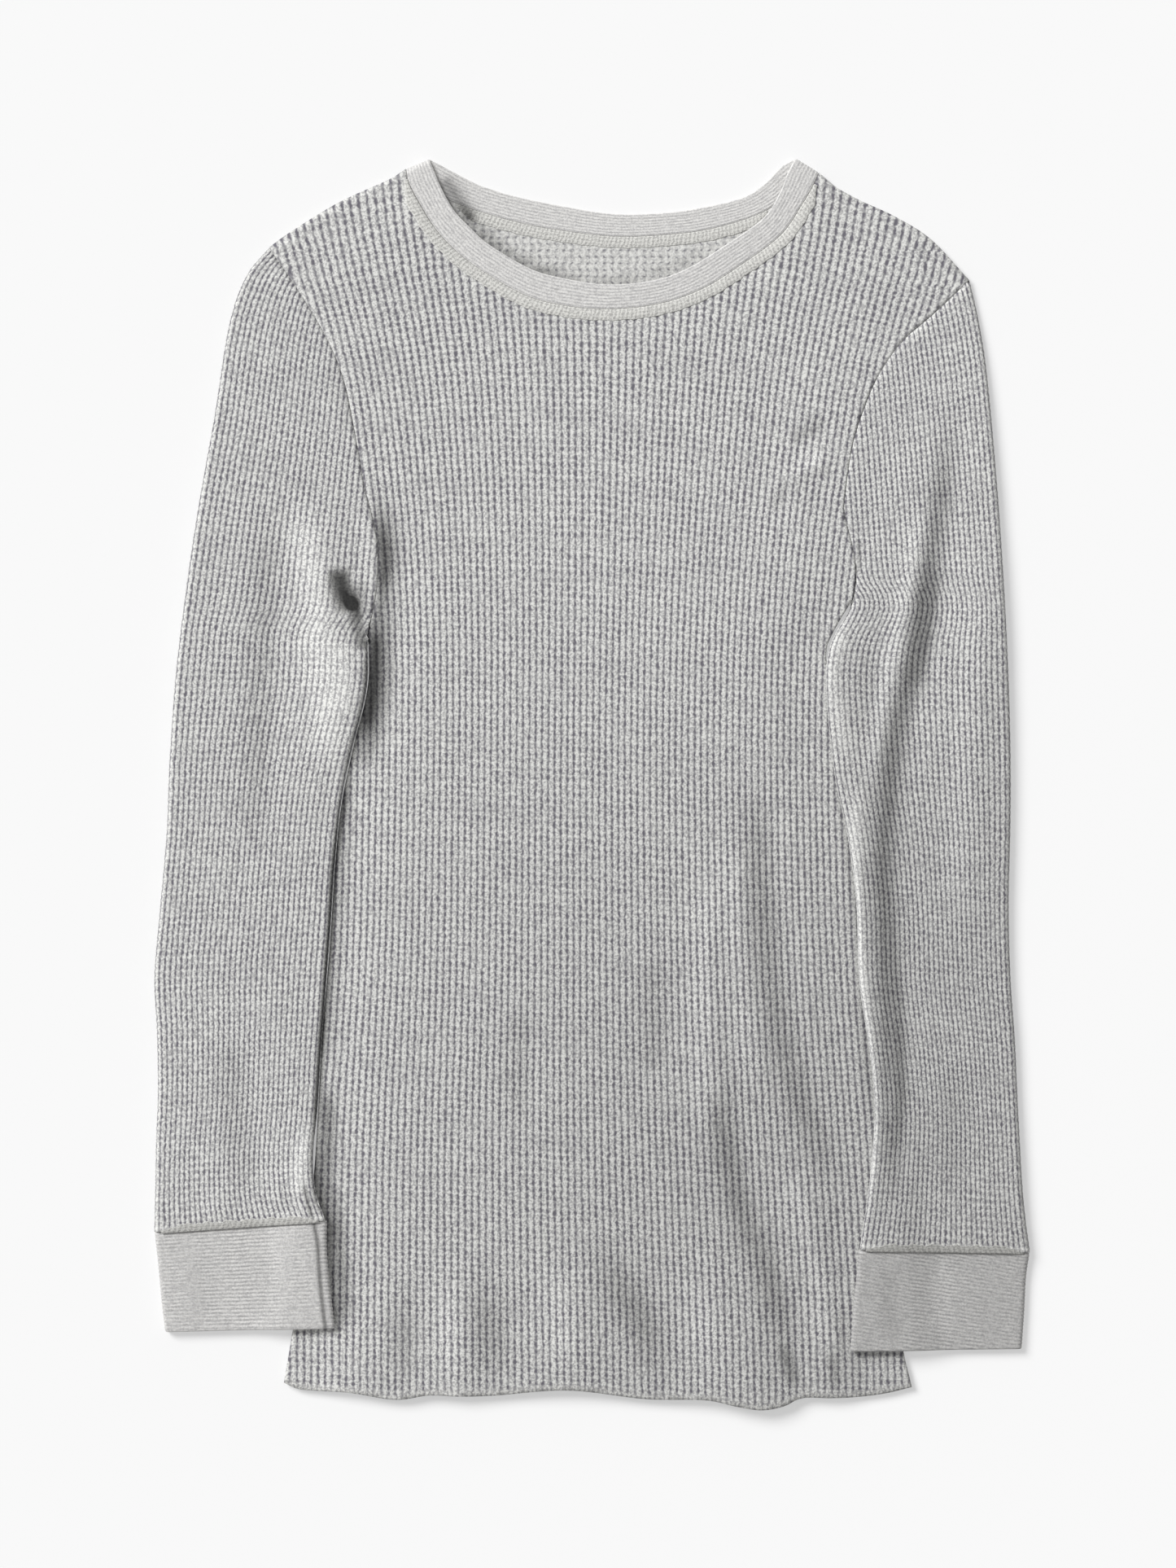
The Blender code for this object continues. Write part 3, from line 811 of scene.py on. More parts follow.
@dataclass
class Lie:
    """How a piece lies: its creases, and a painted shade that darkens its colour down and to the right."""

    creases: tuple[Crease, ...] = ()
    step: float = 1.5
    reach: float = 2.6
    past_end: float = 0.02
    dusk: float = 0.2
    dusk_top: float = 170.0
    dusk_drop: float = 400.0
    dusk_left: float = -230.0
    dusk_across: float = 330.0

    def read(self, x: np.ndarray, y: np.ndarray) -> dict[str, np.ndarray]:
        """Adds the creases up.

        Args:
            x: places across, in mm.
            y: places along, in mm.

        Returns:
            The height to add in mm, the painted shade as a share of the colour darkened, and how plain the
            knit is.
        """
        found = {name: np.zeros_like(x) for name in ("height", "painted_shade", "plain")}
        for crease in self.creases:
            line = Polyline(dense(crease.points, self.step))
            low = line.points.min(0) - self.reach * crease.half_width
            high = line.points.max(0) + self.reach * crease.half_width
            near = (x > low[0]) & (x < high[0]) & (y > low[1]) & (y < high[1])
            if not near.any():
                continue
            gap, _, run = line.nearest(x[near], y[near])
            place = run / line.run[-1]
            first = smooth_step((place + self.past_end) / crease.ends)
            last = smooth_step((1 + self.past_end - place) / crease.ends)
            weight = first * last * np.exp(-((gap / crease.half_width) ** crease.power))
            found["height"][near] += crease.height * weight
            found["painted_shade"][near] += crease.dark * weight
            found["plain"][near] += crease.plain * weight
        # Painted shade: the colour darkens down and to the right, by up to dusk.
        down = smooth_step((self.dusk_top - y) / self.dusk_drop)
        across = smooth_step((x - self.dusk_left) / self.dusk_across)
        found["painted_shade"] = found["painted_shade"] + self.dusk * down * across
        return found


# In these tables height shapes the cloth, while dark paints shade into the colour of troughs, hollows and the
# edges where pieces meet, and a negative dark paints a highlight on ridges.
FRONT_LIE = Lie(creases=(
    Crease(((95, 8), (98, -58), (107, -132), (121, -183), (146, -238)), 9, -1.6, 0.22),
    Crease(((70, -164), (84, -233), (102, -280), (114, -330)), 8.5, -1.8, 0.26),
    Crease(((82, -20), (84, -110), (96, -185)), 9, 1.4, -0.1),
    Crease(((66, -40), (66, -125), (68, -215)), 9, 1.4, -0.1),
    Crease(((112, -215), (128, -270), (140, -335)), 8, 1.4, -0.1),
    Crease(((38, -95), (38, -130), (37, -170)), 8, -0.9, 0.1),
    Crease(((-38, -125), (-38, -160), (-39, -200)), 8, -0.9, 0.09),
    Crease((
        (-125, 162), (-119.5, 143), (-117.5, 126), (-120.5, 105), (-121, 80), (-122, 55),
        (-126, 30), (-131, 5),
    ), 9.5, -1.2, 0.46, 0.0, 0.14),
    Crease(((-120.5, 150), (-117, 128), (-119.5, 104)), 6, -0.6, 0.26, 0, 0.3),
    Crease(((-123.5, 94), (-123, 70), (-124.5, 46), (-130, 22)), 5.5, -0.5, 0.46, 0, 0.25),
    Crease(((-181, 302), (-164, 277), (-149, 251), (-138, 222)), 2.4, 0.3, -0.04, 0.6, 0.1),
    Crease(((212, 284), (190, 264), (175, 251), (160, 228)), 2.4, 0.3, -0.04, 0.6, 0.1),
    Crease(((133, 206), (126, 198), (112, 192)), 5, -1.4, 0.15),
    Crease(((134, 184), (124, 178), (108, 168)), 5, 1.6, -0.12),
    Crease(((126, 176), (113, 170), (104, 150)), 5, -1, 0.14),
    Crease(((-106, -275), (-104, -312), (-102, -352)), 9, -1.5, 0.2, 0, 0.5),
    Crease(((-80, -270), (-77, -310), (-74, -352)), 9, 1.5, -0.12, 0, 0.5),
    Crease(((-62, -268), (-55, -310), (-50, -352)), 10, -1.5, 0.22, 0, 0.5),
    Crease(((-22, -260), (-14, -305), (-8, -352)), 13, 1.5, -0.12, 0, 0.5),
    Crease(((2, -250), (16, -282), (34, -315), (41, -352)), 10, -1.6, 0.28, 0, 0.5),
    Crease(((58, -265), (66, -308), (76, -352)), 12, 1.5, -0.12, 0, 0.5),
    Crease(((107, -312), (112, -328), (118, -346)), 4.5, -1.3, 0.34, 0, 0.4),
    Crease(((135, -318), (138, -333), (138, -347)), 4, -0.9, 0.24, 0, 0.4),
    Crease(((140, -290), (147, -320), (151, -350)), 6, -1.2, 0.16, 0, 0.4),
    Crease(((-146, -270), (-147, -300), (-150, -345)), 8, 1, -0.08, 0, 0.4),
    Crease((
        (-137, 5), (-144.8, -45), (-147.3, -81.5), (-152.3, -144), (-154.5, -180),
    ), 2.2, 0.0, 0.6, 0.0, 0.1),
    Crease(((-136, 5), (-145, -80), (-150, -170)), 6, 0, 0.2, 0, 0.2),
    Crease((
        (-150, -170), (-150, -205), (-151, -224), (-146.5, -242), (-144, -262),
        (-141.5, -285), (-141, -310),
    ), 6.5, -0.6, 0.5, 0.0, 0.12),
    Crease(((136, 30), (150, -80), (158, -200)), 4, 0, 0.2, 0, 0.2),
))

# Painted shadow that the front of the neckband casts on the inside of the back, at the left of the neck.
INSIDE_LIE = Lie(creases=(
    Crease(((-86, 343), (-79, 334), (-73, 325), (-66, 316)), 5.5, 0, 0.55, 0, 0.2),
    Crease((
        (-76, 331), (-68, 317.5), (-57, 305.5), (-41, 294), (-20, 286), (0, 283),
    ), 3.4, 0.0, 0.6, 0.0, 0.3),
    Crease(((-6, 282), (22, 285), (46, 292), (66, 302)), 2.2, 0, 0.25, 0, 0.2),
), dusk=0.0)

# The first creases carve the underarm hollow and their dark shares paint its shade; the thin ones along the
# inner fold paint the shade between sleeve and body.
LEFT_SLEEVE_LIE = Lie(creases=(
    Crease(((-142.5, 122), (-141, 112), (-138.5, 104), (-135, 96)), 6.4, -2.4, 0.66, 1, 0.2, 4),
    Crease(((-143.5, 122), (-142, 113), (-140, 106), (-137, 100)), 4.4, -0.4, 0.3, 0.2, 0.3, 3),
    Crease(((-138, 106), (-134, 97), (-131, 86), (-129, 74)), 3.8, -1, 0.62, 0.5, 0.15, 3),
    Crease(((-133, 116), (-130.5, 105), (-128.5, 90)), 5.5, -0.8, 0.32, 0.3, 0.3),
    Crease(((-140, 112), (-136, 106.5), (-134, 100)), 1.4, 0.4, -0.1, 0, 0.4),
    Crease(((-128, 152), (-124, 128), (-123, 106)), 3.5, 0.9, -0.1, 0.5),
    Crease((
        (-166, 165), (-158, 125), (-153, 92), (-150, 60), (-147, 28), (-149, -5),
    ), 11.0, 1.2, -0.22, 0.6),
    Crease(((-142, 84), (-138, 62), (-140, 34)), 7, 0.9, -0.14, 0.5),
    Crease(((-127.5, 76), (-126.5, 56), (-130.5, 34), (-139, 2)), 3, -0.3, 0.5, 0, 0.2),
    Crease((
        (-139, 0), (-146, -45), (-148.5, -81.5), (-153.9, -152), (-157, -200),
    ), 1.5, 0.0, 0.75, 0.0, 0.1),
    Crease(((-176, 160), (-183, 60), (-186, -50)), 9, -1.3, 0.12),
    Crease(((-200, -140), (-196, -195), (-188, -240)), 9, -1.1, 0.1),
    Crease(((-170, -225), (-172, -234), (-170, -245)), 6, -0.8, 0.12, 0, 0.4),
    Crease(((-212, -225), (-213, -236), (-214, -250)), 6, 0.7, -0.05, 0, 0.4),
    Crease(((-160, -190), (-164, -215), (-166, -240)), 4.5, 0.6, -0.14, 0.7, 0.3),
    Crease(((-162.5, -224), (-159.3, -238), (-156.4, -250)), 1.5, -0.4, 0.5, 0.3, 0.2),
    Crease(((-150, 245), (-141, 220), (-135, 190)), 4, -0.4, 0.1),
))

RIGHT_SLEEVE_LIE = Lie(creases=(
    Crease((
        (204, 210), (201, 176), (197, 143), (190, 102), (186, 75), (178.7, 47), (173, 20),
        (170, -7), (166, -45), (168.5, -100), (172, -152), (172.5, -186), (168, -246),
    ), 7.0, -1.9, 0.32, 0.0, 0.14),
    Crease(((195.5, 128), (189, 98), (184.5, 72), (177, 44)), 7, -0.8, 0.24, 0, 0.3),
    Crease(((187, 160), (181, 118), (173, 76), (163, 30), (158, -10)), 6.5, 1.3, -0.16, 0.3, 0.2),
    Crease(((149, 0), (149.5, -80), (156, -150), (156, -240)), 5, 1.4, -0.22, 0.85, 0.12),
    Crease(((148, 95), (137, 66), (139, 40), (146, 5)), 5, 1, -0.12, 0.7),
    Crease(((146, 116), (143, 107), (140.5, 99)), 1.8, -1, 0.5, 0.5, 0.3),
    Crease(((150, 140), (150.5, 128), (148, 114)), 1.6, -0.4, 0.35, 0.3, 0.3),
    Crease(((222, 150), (214, 40), (210, -90)), 11, 1, -0.08),
    Crease(((206, -150), (204, -200), (207, -250)), 10, -0.8, 0.1, 0, 0.4),
), dusk_top=260.0)

# Painted shade on the cuffs: dark-only creases, and the fall down and to the right, strongest on the right
# cuff.
LEFT_CUFF_LIE = Lie(creases=(
    Crease((
        (-157, -246), (-154.8, -258.3), (-153.9, -271.6), (-152.5, -288.2), (-149.7, -311),
    ), 1.3, -0.4, 0.62, 0.0, 0.03),
    Crease(((-185, -262), (-186, -285), (-184, -306)), 8, 0, 0.07),
    Crease(((-222, -262), (-220, -285), (-221, -306)), 8, 0, 0.06),
), dusk=0.13, dusk_left=-600.0)

RIGHT_CUFF_LIE = Lie(creases=(
    Crease(((168, -268), (166, -290), (170, -315)), 6, 0, 0.08),
    Crease(((205, -268), (196, -290), (200, -315)), 10, 0, -0.06),
), dusk=0.36)


@dataclass(frozen=True)
class Waffle:
    """The relief of the waffle knit: a rib down every column and a pit in every cell between two ribs."""

    height: float = 0.62
    rib_power: float = 0.7
    bridge: float = 0.6
    bridge_power: float = 1.5
    bead: float = 0.12
    crown: float = 0.62
    pressed: float = 0.7

    def relief(self, columns: np.ndarray, rows: np.ndarray) -> np.ndarray:
        """How far the knit stands out of its mean surface at each place of the knit, in mm.

        Args:
            columns: the number of the column.
            rows: the number of the row.

        Returns:
            How far the knit stands out.
        """
        rib = wave(columns) ** self.rib_power
        bar = wave(rows) ** self.bridge_power
        shape = rib + (1 - rib) * bar * self.bridge + self.bead * np.cos(2 * np.pi * rows) * rib
        return self.height * (shape - self.crown)

    def left(self, plain: np.ndarray) -> np.ndarray:
        """The share of the relief that is left where the knit is pressed plain."""
        return 1 - self.pressed * np.clip(plain, 0, 1)


@dataclass
class BodyKnit:
    """How the waffle's columns and rows run over the body, in mm."""

    pitch: Table = (
        (360, 4.88), (327.8, 4.88), (291, 4.55), (258.8, 4.23), (185.2, 3.89), (111.6, 3.63),
        (38, 3.57), (-35.7, 3.61), (-109.3, 3.66), (-182.9, 3.82), (-256.5, 3.91), (-330.1, 3.98),
    )
    centre: Table = (
        (258.8, 9), (185.2, 8.5), (111.6, 6.9), (38, 5.75), (-35.7, 5.75), (-109.3, 6.2),
        (-182.9, 6.7), (-256.5, 8.5), (-330.1, 10.4),
    )
    skew: Table = (
        (-170, -10), (-85, -5.5), (-40, -3), (5, 0), (50, 5.2), (100, 10), (170, 14),
    )
    course: Table = (
        (360, 4), (240, 4.2), (160, 4.35), (-35, 4.3), (-109, 4.1), (-155, 4),
        (-247, 3.83), (-312, 3.7), (-370, 3.7),
    )
    half_columns: int = 48
    low: float = -372.0
    high: float = 392.0
    ease_along: float = 20.0
    ease_across: float = 15.0
    slope_span: float = 10.0
    rounds: int = 4

    def smooth(self, table: Table, y: np.ndarray) -> np.ndarray:
        """A table read with its corners softened."""
        return softened(lambda place: read(table, place), y, self.ease_along)

    def lay(self, across: int, down: int) -> Layer:
        """Lays the columns and rows out flat.

        Args:
            across: points for every column.
            down: points for every row.

        Returns:
            The layer, larger than the panel that is cut from it.
        """
        levels = [self.low]
        while levels[-1] < self.high:
            levels.append(levels[-1] + float(read(self.course, np.array(levels[-1]))))
        count = (len(levels) - 1) * down + 1
        rows = np.arange(count) / down
        level = np.interp(rows, np.arange(len(levels)), levels)
        columns = np.arange(-self.half_columns * across, self.half_columns * across + 1) / across
        c, base = np.meshgrid(columns, level)
        y = base.copy()
        half_span = self.slope_span / 2
        for _ in range(self.rounds):
            pitch = self.smooth(self.pitch, y)
            wider = self.smooth(self.pitch, y + half_span) - self.smooth(self.pitch, y - half_span)
            x = self.smooth(self.centre, y) + c * pitch
            sideways = softened(lambda place: read(self.skew, place), x, self.ease_across)
            y = base - sideways - 0.5 * c**2 * pitch * (wider / self.slope_span)
        return Layer(x, y, c, np.repeat(rows[:, None], len(columns), 1))


@dataclass
class Panel:
    """A body panel: its outer knit, its plain inner side and the rims between them."""

    name: str
    neck_seam: Points
    hem_short: float
    outward: Side
    across: int
    down: int
    rim_fade: float = 1.6
    rim_drop: float = 0.25
    rib_lift: float = 0.0
    inner_step: float = 8.0
    lie: Lie = field(default_factory=Lie)
    inner_lie: Lie = field(default_factory=lambda: Lie(dusk=0.0))
    waffle: Waffle = field(default_factory=Waffle)
    knit: BodyKnit = field(default_factory=BodyKnit)
    floor: float = 2.0
    thinnest: float = 1.5
    serge: float = 3.4
    serge_inset: float = 1.2
    serge_fade: float = 1.6
    serge_flat: float = 0.75
    edge_ease: float = 9.0
    inner_wale: float = 4.55
    inner_course: float = 3.65

    def build(self) -> bpy.types.Object:
        """Makes the closed wall of the panel.

        Returns:
            The finished piece.
        """
        outline, corners = PLAN.panel_edges(self.neck_seam, self.hem_short)
        ring = closed_line(outline)
        sign = self.outward.value
        other = Side.LOWER if self.outward is Side.UPPER else Side.UPPER
        outer_map = HeightMap(self.name, self.outward, outline)
        inner_map = HeightMap(self.name, other, outline)
        outer = self.knit.lay(self.across, self.down)
        outer.cut(outline, ring, corners)
        gap = ring.nearest(outer.x, outer.y)[0]
        near = smooth_step(gap / self.rim_fade)
        lie = self.lie.read(outer.x, outer.y)
        low_edge = Polyline(dense(PLAN.hem)).nearest(outer.x, outer.y)[0]
        hem = 1 - smooth_step((low_edge - self.serge + self.serge_inset) / self.serge_fade)
        clear = smooth_step(gap / self.edge_ease)
        free = clear + hem * (1 - clear)
        outer.z = outer_map.at(outer.x, outer.y) + lie["height"] * free
        if self.outward is Side.UPPER:
            outer.z = np.maximum(outer.z, self.floor + self.thinnest)
        outer.z -= sign * self.rim_drop * (1 - near) * (1 - hem)
        raised = (self.rib_lift + self.waffle.relief(outer.columns, outer.rows)) * near
        outer.z += sign * raised * (1 - self.serge_flat * hem) * self.waffle.left(lie["plain"])
        # The painted shade of the creases and of the fall down and to the right goes into the colour through
        # these notes.
        notes = {"painted_shade": lie["painted_shade"], "plain": lie["plain"], "hem": hem, "inside": np.zeros_like(gap)}
        face = knit_layer(self.name + "_knit", outer, sign, notes)
        inner = self.inner_layer(outline, ring, corners)
        inner.z = inner_map.at(inner.x, inner.y) + self.lie.read(inner.x, inner.y)["height"]
        if self.outward is Side.UPPER:
            inner.z = np.maximum(inner.z, self.floor)
        # Painted shadow of the neckband on the inner side.
        notes = {"inside": np.ones_like(inner.x), "painted_shade": self.inner_lie.read(inner.x, inner.y)["painted_shade"]}
        behind = knit_layer(self.name + "_inside", inner, -sign, notes)
        return close_wall(face, behind)

    def inner_layer(self, outline: np.ndarray, ring: Polyline, corners: Points) -> Layer:
        """The panel's inner side as a plain layer of wide cells, cut to the same outline.

        Args:
            outline: the panel's outline.
            ring: the way round it.
            corners: its corners.

        Returns:
            The inner layer.
        """
        low, high = outline.min(0) - self.inner_step, outline.max(0) + self.inner_step
        xs = np.arange(low[0], high[0], self.inner_step)
        ys = np.arange(low[1], high[1], self.inner_step)
        gx, gy = np.meshgrid(xs, ys)
        layer = Layer(gx, gy, gx / self.inner_wale, gy / self.inner_course)
        layer.cut(outline, ring, corners)
        return layer


# ----------------------------------------
# Sleeves and cuffs
# ----------------------------------------


@dataclass
class Tube:
    """A flattened tube of knit between an outer and an inner fold, cut by the seams at its ends.

    Both folds are drawn out past their ends before the knit is laid: by tail, far_tail and the two steps of
    far_end, the last of which reaches well past the armhole.
    """

    name: str
    outer_fold: Points
    inner_fold: Points
    upper_seam: Points
    lower_seam: Points
    tilt: Table
    course: Table
    columns: int = 33
    across: int = 3
    down: int = 2
    radius: float = 2.9
    rim_fade: float = 1.6
    rim_drop: float = 0.5
    wall: float = 1.6
    clear: float = 0.38
    gather: float = 5.0
    gather_light: float = 0.2
    gather_plain: float = 0.9
    drops_under: float = 0.5
    beyond: float = 7.0
    tail: float = 14.0
    far_tail: float = 30.0
    far_end: Table = ((10, 12), (34, 340))
    width_ease: float = 3.0
    seam_ease: float = 7.0
    hollow: float = 0.4
    least_half: float = 0.2
    map_margin: float = 0.8
    lie: Lie = field(default_factory=Lie)
    waffle: Waffle = field(default_factory=Waffle)

    def __post_init__(self) -> None:
        """Works out the folds, the outline and the side that faces the body."""
        self.outer_line = dense(self.outer_fold)
        self.inner_line = dense(self.inner_fold)
        self.upper = dense(self.upper_seam)
        self.lower = dense(self.lower_seam)
        self.side = 1.0 if self.outer_line[:, 0].mean() < self.inner_line[:, 0].mean() else -1.0
        self.outline = np.vstack([self.outer_line, self.upper[::-1], self.inner_line[::-1]])
        self.folds = (Polyline(self.outer_line), Polyline(self.inner_line))

    def kept_region(self) -> np.ndarray:
        """The plan outline that the knit is cut to: the seams, and well clear of the folds.

        Returns:
            The outline.
        """
        out = np.array([-self.side * self.beyond, 0.0])
        outer = self.outer_line[:, :2] + out
        inner = self.inner_line[:, :2] - out
        return np.vstack([outer, self.upper[::-1, :2], inner[::-1], self.lower[::-1, :2]])

    def lay(self, columns: int, across: int, step: int, down: int) -> tuple[Layer, np.ndarray, np.ndarray]:
        """Lays the columns and rows round both layers of the tube.

        Args:
            columns: columns in each layer.
            across: points for every column.
            step: how many rows lie between two lines of points.
            down: points for every row, where step is 1.

        Returns:
            The layer, the distance of each point from its fold, and 1 on the upper layer, -1 below.
        """
        way = self.outer_line[-1, :2] - self.outer_line[-2, :2]
        line = np.vstack([
            self.outer_line[:1, :2] - [[0.0, self.tail]], self.outer_line[:, :2],
            self.outer_line[-1:, :2] + self.tail * way / np.linalg.norm(way),
        ])
        far = np.vstack([
            self.inner_line[:1, :2] - [[0.0, self.far_tail]], self.inner_line[:, :2],
            *(self.inner_line[-1:, :2] + [[self.side * sideways, up]] for sideways, up in self.far_end),
        ])
        run = run_of(line)
        levels = [0.0]
        while levels[-1] < run[-1]:
            y = np.interp(levels[-1], run, line[:, 1])
            levels.append(levels[-1] + float(read(self.course, np.array(y))))
        if step > 1:
            rows = np.arange(0, len(levels), step).astype(float)
        else:
            rows = np.arange((len(levels) - 1) * down + 1) / down
        places = np.interp(rows, np.arange(len(levels)), levels)
        start = np.column_stack([np.interp(places, run, line[:, 0]), np.interp(places, run, line[:, 1])])
        angle = np.radians(read(self.tilt, start[:, 1]))
        way = np.column_stack([np.cos(angle), -np.sin(angle)]) * self.side
        laid = self.widths(start, way, far)
        width = softened(lambda place: np.interp(place, places, laid), places, self.width_ease)
        count = columns * across
        share = np.arange(count + 1) / count
        length = over_folds(width, self.radius)
        arc = share[None, :] * length[:, None]
        gap, _ = round_fold(np.minimum(arc, length[:, None] - arc), self.radius)
        place = np.where(share[None, :] > 0.5, width[:, None] - gap, gap)
        x = there_and_back(start[:, :1] + place * way[:, :1])
        y = there_and_back(start[:, 1:] + place * way[:, 1:])
        over = np.where(np.arange(x.shape[1]) <= count, 1.0, -1.0)[None, :] + np.zeros_like(x)
        number = np.arange(x.shape[1])[None, :] / across + np.zeros_like(x)
        layer = Layer(x, y, number, np.repeat(rows[:, None], x.shape[1], 1), wraps=True)
        return layer, there_and_back(gap), over

    @staticmethod
    def widths(start: np.ndarray, way: np.ndarray, far: np.ndarray) -> np.ndarray:
        """How far each line runs before it meets the far fold.

        Args:
            start: the outer end of each row.
            way: its direction.
            far: the inner fold.

        Returns:
            The laid width of each row.
        """
        found = np.zeros(len(start))
        base, step = far[:-1], np.diff(far, axis=0)
        for number, (point, line) in enumerate(zip(start, way)):
            cross = line[0] * step[:, 1] - line[1] * step[:, 0]
            cross = np.where(np.abs(cross) < TINY, TINY, cross)
            gap = base - point
            reach = (gap[:, 0] * step[:, 1] - gap[:, 1] * step[:, 0]) / cross
            share = (gap[:, 0] * line[1] - gap[:, 1] * line[0]) / cross
            good = (share >= 0) & (share <= 1) & (reach > 0)
            found[number] = reach[good].min() if good.any() else found[max(number - 1, 0)]
        return found

    def raise_layer(self, layer: Layer, over: np.ndarray, depth: float) -> tuple[np.ndarray, dict]:
        """Gives a layer its heights, round at both folds.

        Args:
            layer: the layer, whose heights are set.
            over: 1 on the upper side of the tube, -1 below.
            depth: how deep the layer lies in the wall.

        Returns:
            How near its seams each point is, and the notes on how it lies.
        """
        gap = np.minimum(*(fold.nearest(layer.x, layer.y)[0] for fold in self.folds))
        gap, radius = np.maximum(gap - depth, 0.0), self.radius - depth
        profile = np.sqrt(np.clip(1 - (1 - np.minimum(gap, radius) / radius) ** 2, 0.0, 1.0))
        top, low = self.upper_map.at(layer.x, layer.y), self.lower_map.at(layer.x, layer.y) + self.clear
        seam_gap = self.cut_line.nearest(layer.x, layer.y)[0]
        gathered = 1 - smooth_step(self.cuff_seam.nearest(layer.x, layer.y)[0] / self.gather)
        lie = self.lie.read(layer.x, layer.y)
        # Painted highlight: the knit is made lighter near the cuff seam, where it is gathered.
        lie["painted_shade"] = lie["painted_shade"] - self.gather_light * gathered
        lie["plain"] = lie["plain"] + self.gather_plain * gathered
        raised = top + lie["height"] * smooth_step(seam_gap / self.seam_ease)
        top = np.maximum(raised, low + 2 * self.wall + self.hollow)
        middle = (top + low) / 2
        half = np.maximum((top - low) / 2 - depth, self.least_half)
        layer.z = middle + over * half * profile
        upper = np.where(over > 0, 1.0, 0.0)
        return seam_gap, {"painted_shade": lie["painted_shade"] * upper, "plain": lie["plain"] * upper}

    def build(self) -> bpy.types.Object:
        """Makes the closed wall of the tube.

        Returns:
            The finished piece.
        """
        margin = self.radius + self.map_margin
        self.upper_map = HeightMap(self.name, Side.UPPER, self.outline, margin=margin)
        self.lower_map = HeightMap(self.name, Side.LOWER, self.outline, margin=margin)
        self.cuff_seam = Polyline(self.lower)
        self.cut_line = CutLine((Polyline(self.upper), self.cuff_seam))
        region = self.kept_region()
        outer, _, over = self.lay(self.columns, self.across, 1, self.down)
        outer.cut(region, self.cut_line)
        seam_gap, notes = self.raise_layer(outer, over, 0.0)
        near = smooth_step(seam_gap / self.rim_fade)
        relief = self.waffle.relief(outer.columns, outer.rows) * near * self.waffle.left(notes["plain"])
        relief = relief - self.rim_drop * (1 - near) * (notes["plain"] < self.drops_under)
        facing = int(self.side)
        outer.push(relief * facing)
        face = knit_layer(self.name + "_knit", outer, facing, notes)
        inner, gaps, over = self.lay(self.columns, 1, 2, 1)
        self.draw_in(inner, gaps)
        inner.cut(region, self.cut_line)
        self.raise_layer(inner, over, self.wall)
        behind = knit_layer(self.name + "_inside", inner, -facing, {"inside": np.ones_like(inner.x)})
        return close_wall(face, behind)

    def draw_in(self, layer: Layer, gaps: np.ndarray) -> None:
        """Moves the inner layer's points in from the folds by the thickness of the wall.

        Args:
            layer: the layer.
            gaps: how far each point lies inside its fold.
        """
        last = layer.x.shape[1] // 2
        ends = np.column_stack([layer.x[:, last] - layer.x[:, 0], layer.y[:, last] - layer.y[:, 0]])
        width = np.linalg.norm(ends, axis=1, keepdims=True)
        share = np.arange(layer.x.shape[1])
        share = np.minimum(share, 2 * last - share) / last
        pull = self.wall * np.clip(1 - gaps / (2 * self.radius), 0.0, 1.0)
        signed = np.where(share[None, :] <= 0.5, pull, -pull)
        layer.x += signed * ends[:, :1] / width
        layer.y += signed * ends[:, 1:] / width


class CutLine:
    """Several seams asked together for the nearest place."""

    def __init__(self, seams: tuple[Polyline, ...]) -> None:
        """Keeps the seams."""
        self.seams = seams

    def nearest(self, x: np.ndarray, y: np.ndarray) -> tuple[np.ndarray, np.ndarray, np.ndarray]:
        """The distance to the nearest seam, the place on it and how far along that seam it is.

        Args:
            x: places from left to right.
            y: places from hem to neck.

        Returns:
            What the nearest line gives.
        """
        answers = [seam.nearest(x, y) for seam in self.seams]
        gaps = np.array([answer[0] for answer in answers])
        best = gaps.argmin(axis=0)
        pick = np.indices(best.shape)
        places = np.array([answer[1] for answer in answers])[(best, *pick)]
        runs = np.array([answer[2] for answer in answers])[(best, *pick)]
        return gaps.min(axis=0), places, runs


LEFT_OUTER = (
    (-247, -253), (-246.5, -229), (-246, -201), (-245, -173.5), (-245.5, -141.5), (-247, -109),
    (-244, -72.5), (-240, -26.5), (-238.5, 12), (-235, 61), (-229.5, 107), (-222, 157.5),
    (-213, 208), (-205, 258.5), (-195.5, 286), (-182.5, 302.5),
)
LEFT_INNER = (
    (-149.5, -246), (-155.5, -233.5), (-157.6, -210.5), (-155.2, -184.5), (-153.3, -152), (-150.6, -117.5),
    (-147.9, -81.5), (-145.4, -45), (-142.2, -13), (-136.2, 17), (-130.4, 39), (-127.2, 54),
    (-126.5, 66), (-126.7, 75), (-127.1, 80), (-127.5, 82.5),
)
RIGHT_OUTER = (
    (247, -264.5), (243.5, -236.5), (241.5, -206), (240, -177.5), (238.5, -144.5), (236, -109),
    (235, -68), (236, -22), (236, 19.5), (234.5, 70), (231.5, 125.5), (227.5, 180.5),
    (222.5, 233.5), (218, 262), (213, 284),
)
RIGHT_INNER = (
    (150.5, -262.5), (155, -236.5), (158, -208), (159.5, -182.5), (156.5, -150.5), (150.5, -111.5),
    (149, -68), (144, -29), (137.5, 1), (133.5, 33.5), (132, 54), (132.5, 70),
    (136.5, 83.5), (143.5, 94), (147.5, 103.5),
)


def close_rims(piece: bpy.types.Object) -> None:
    """Closes a wall of one grid by zipping its two open edges together.

    Args:
        piece: the piece, with one open edge or two.
    """
    loops = sorted(open_loops(piece.data), key=len, reverse=True)
    if len(loops) == 2:
        add_faces(piece, zip_loops(points_of(piece.data), loops[0], loops[1]))


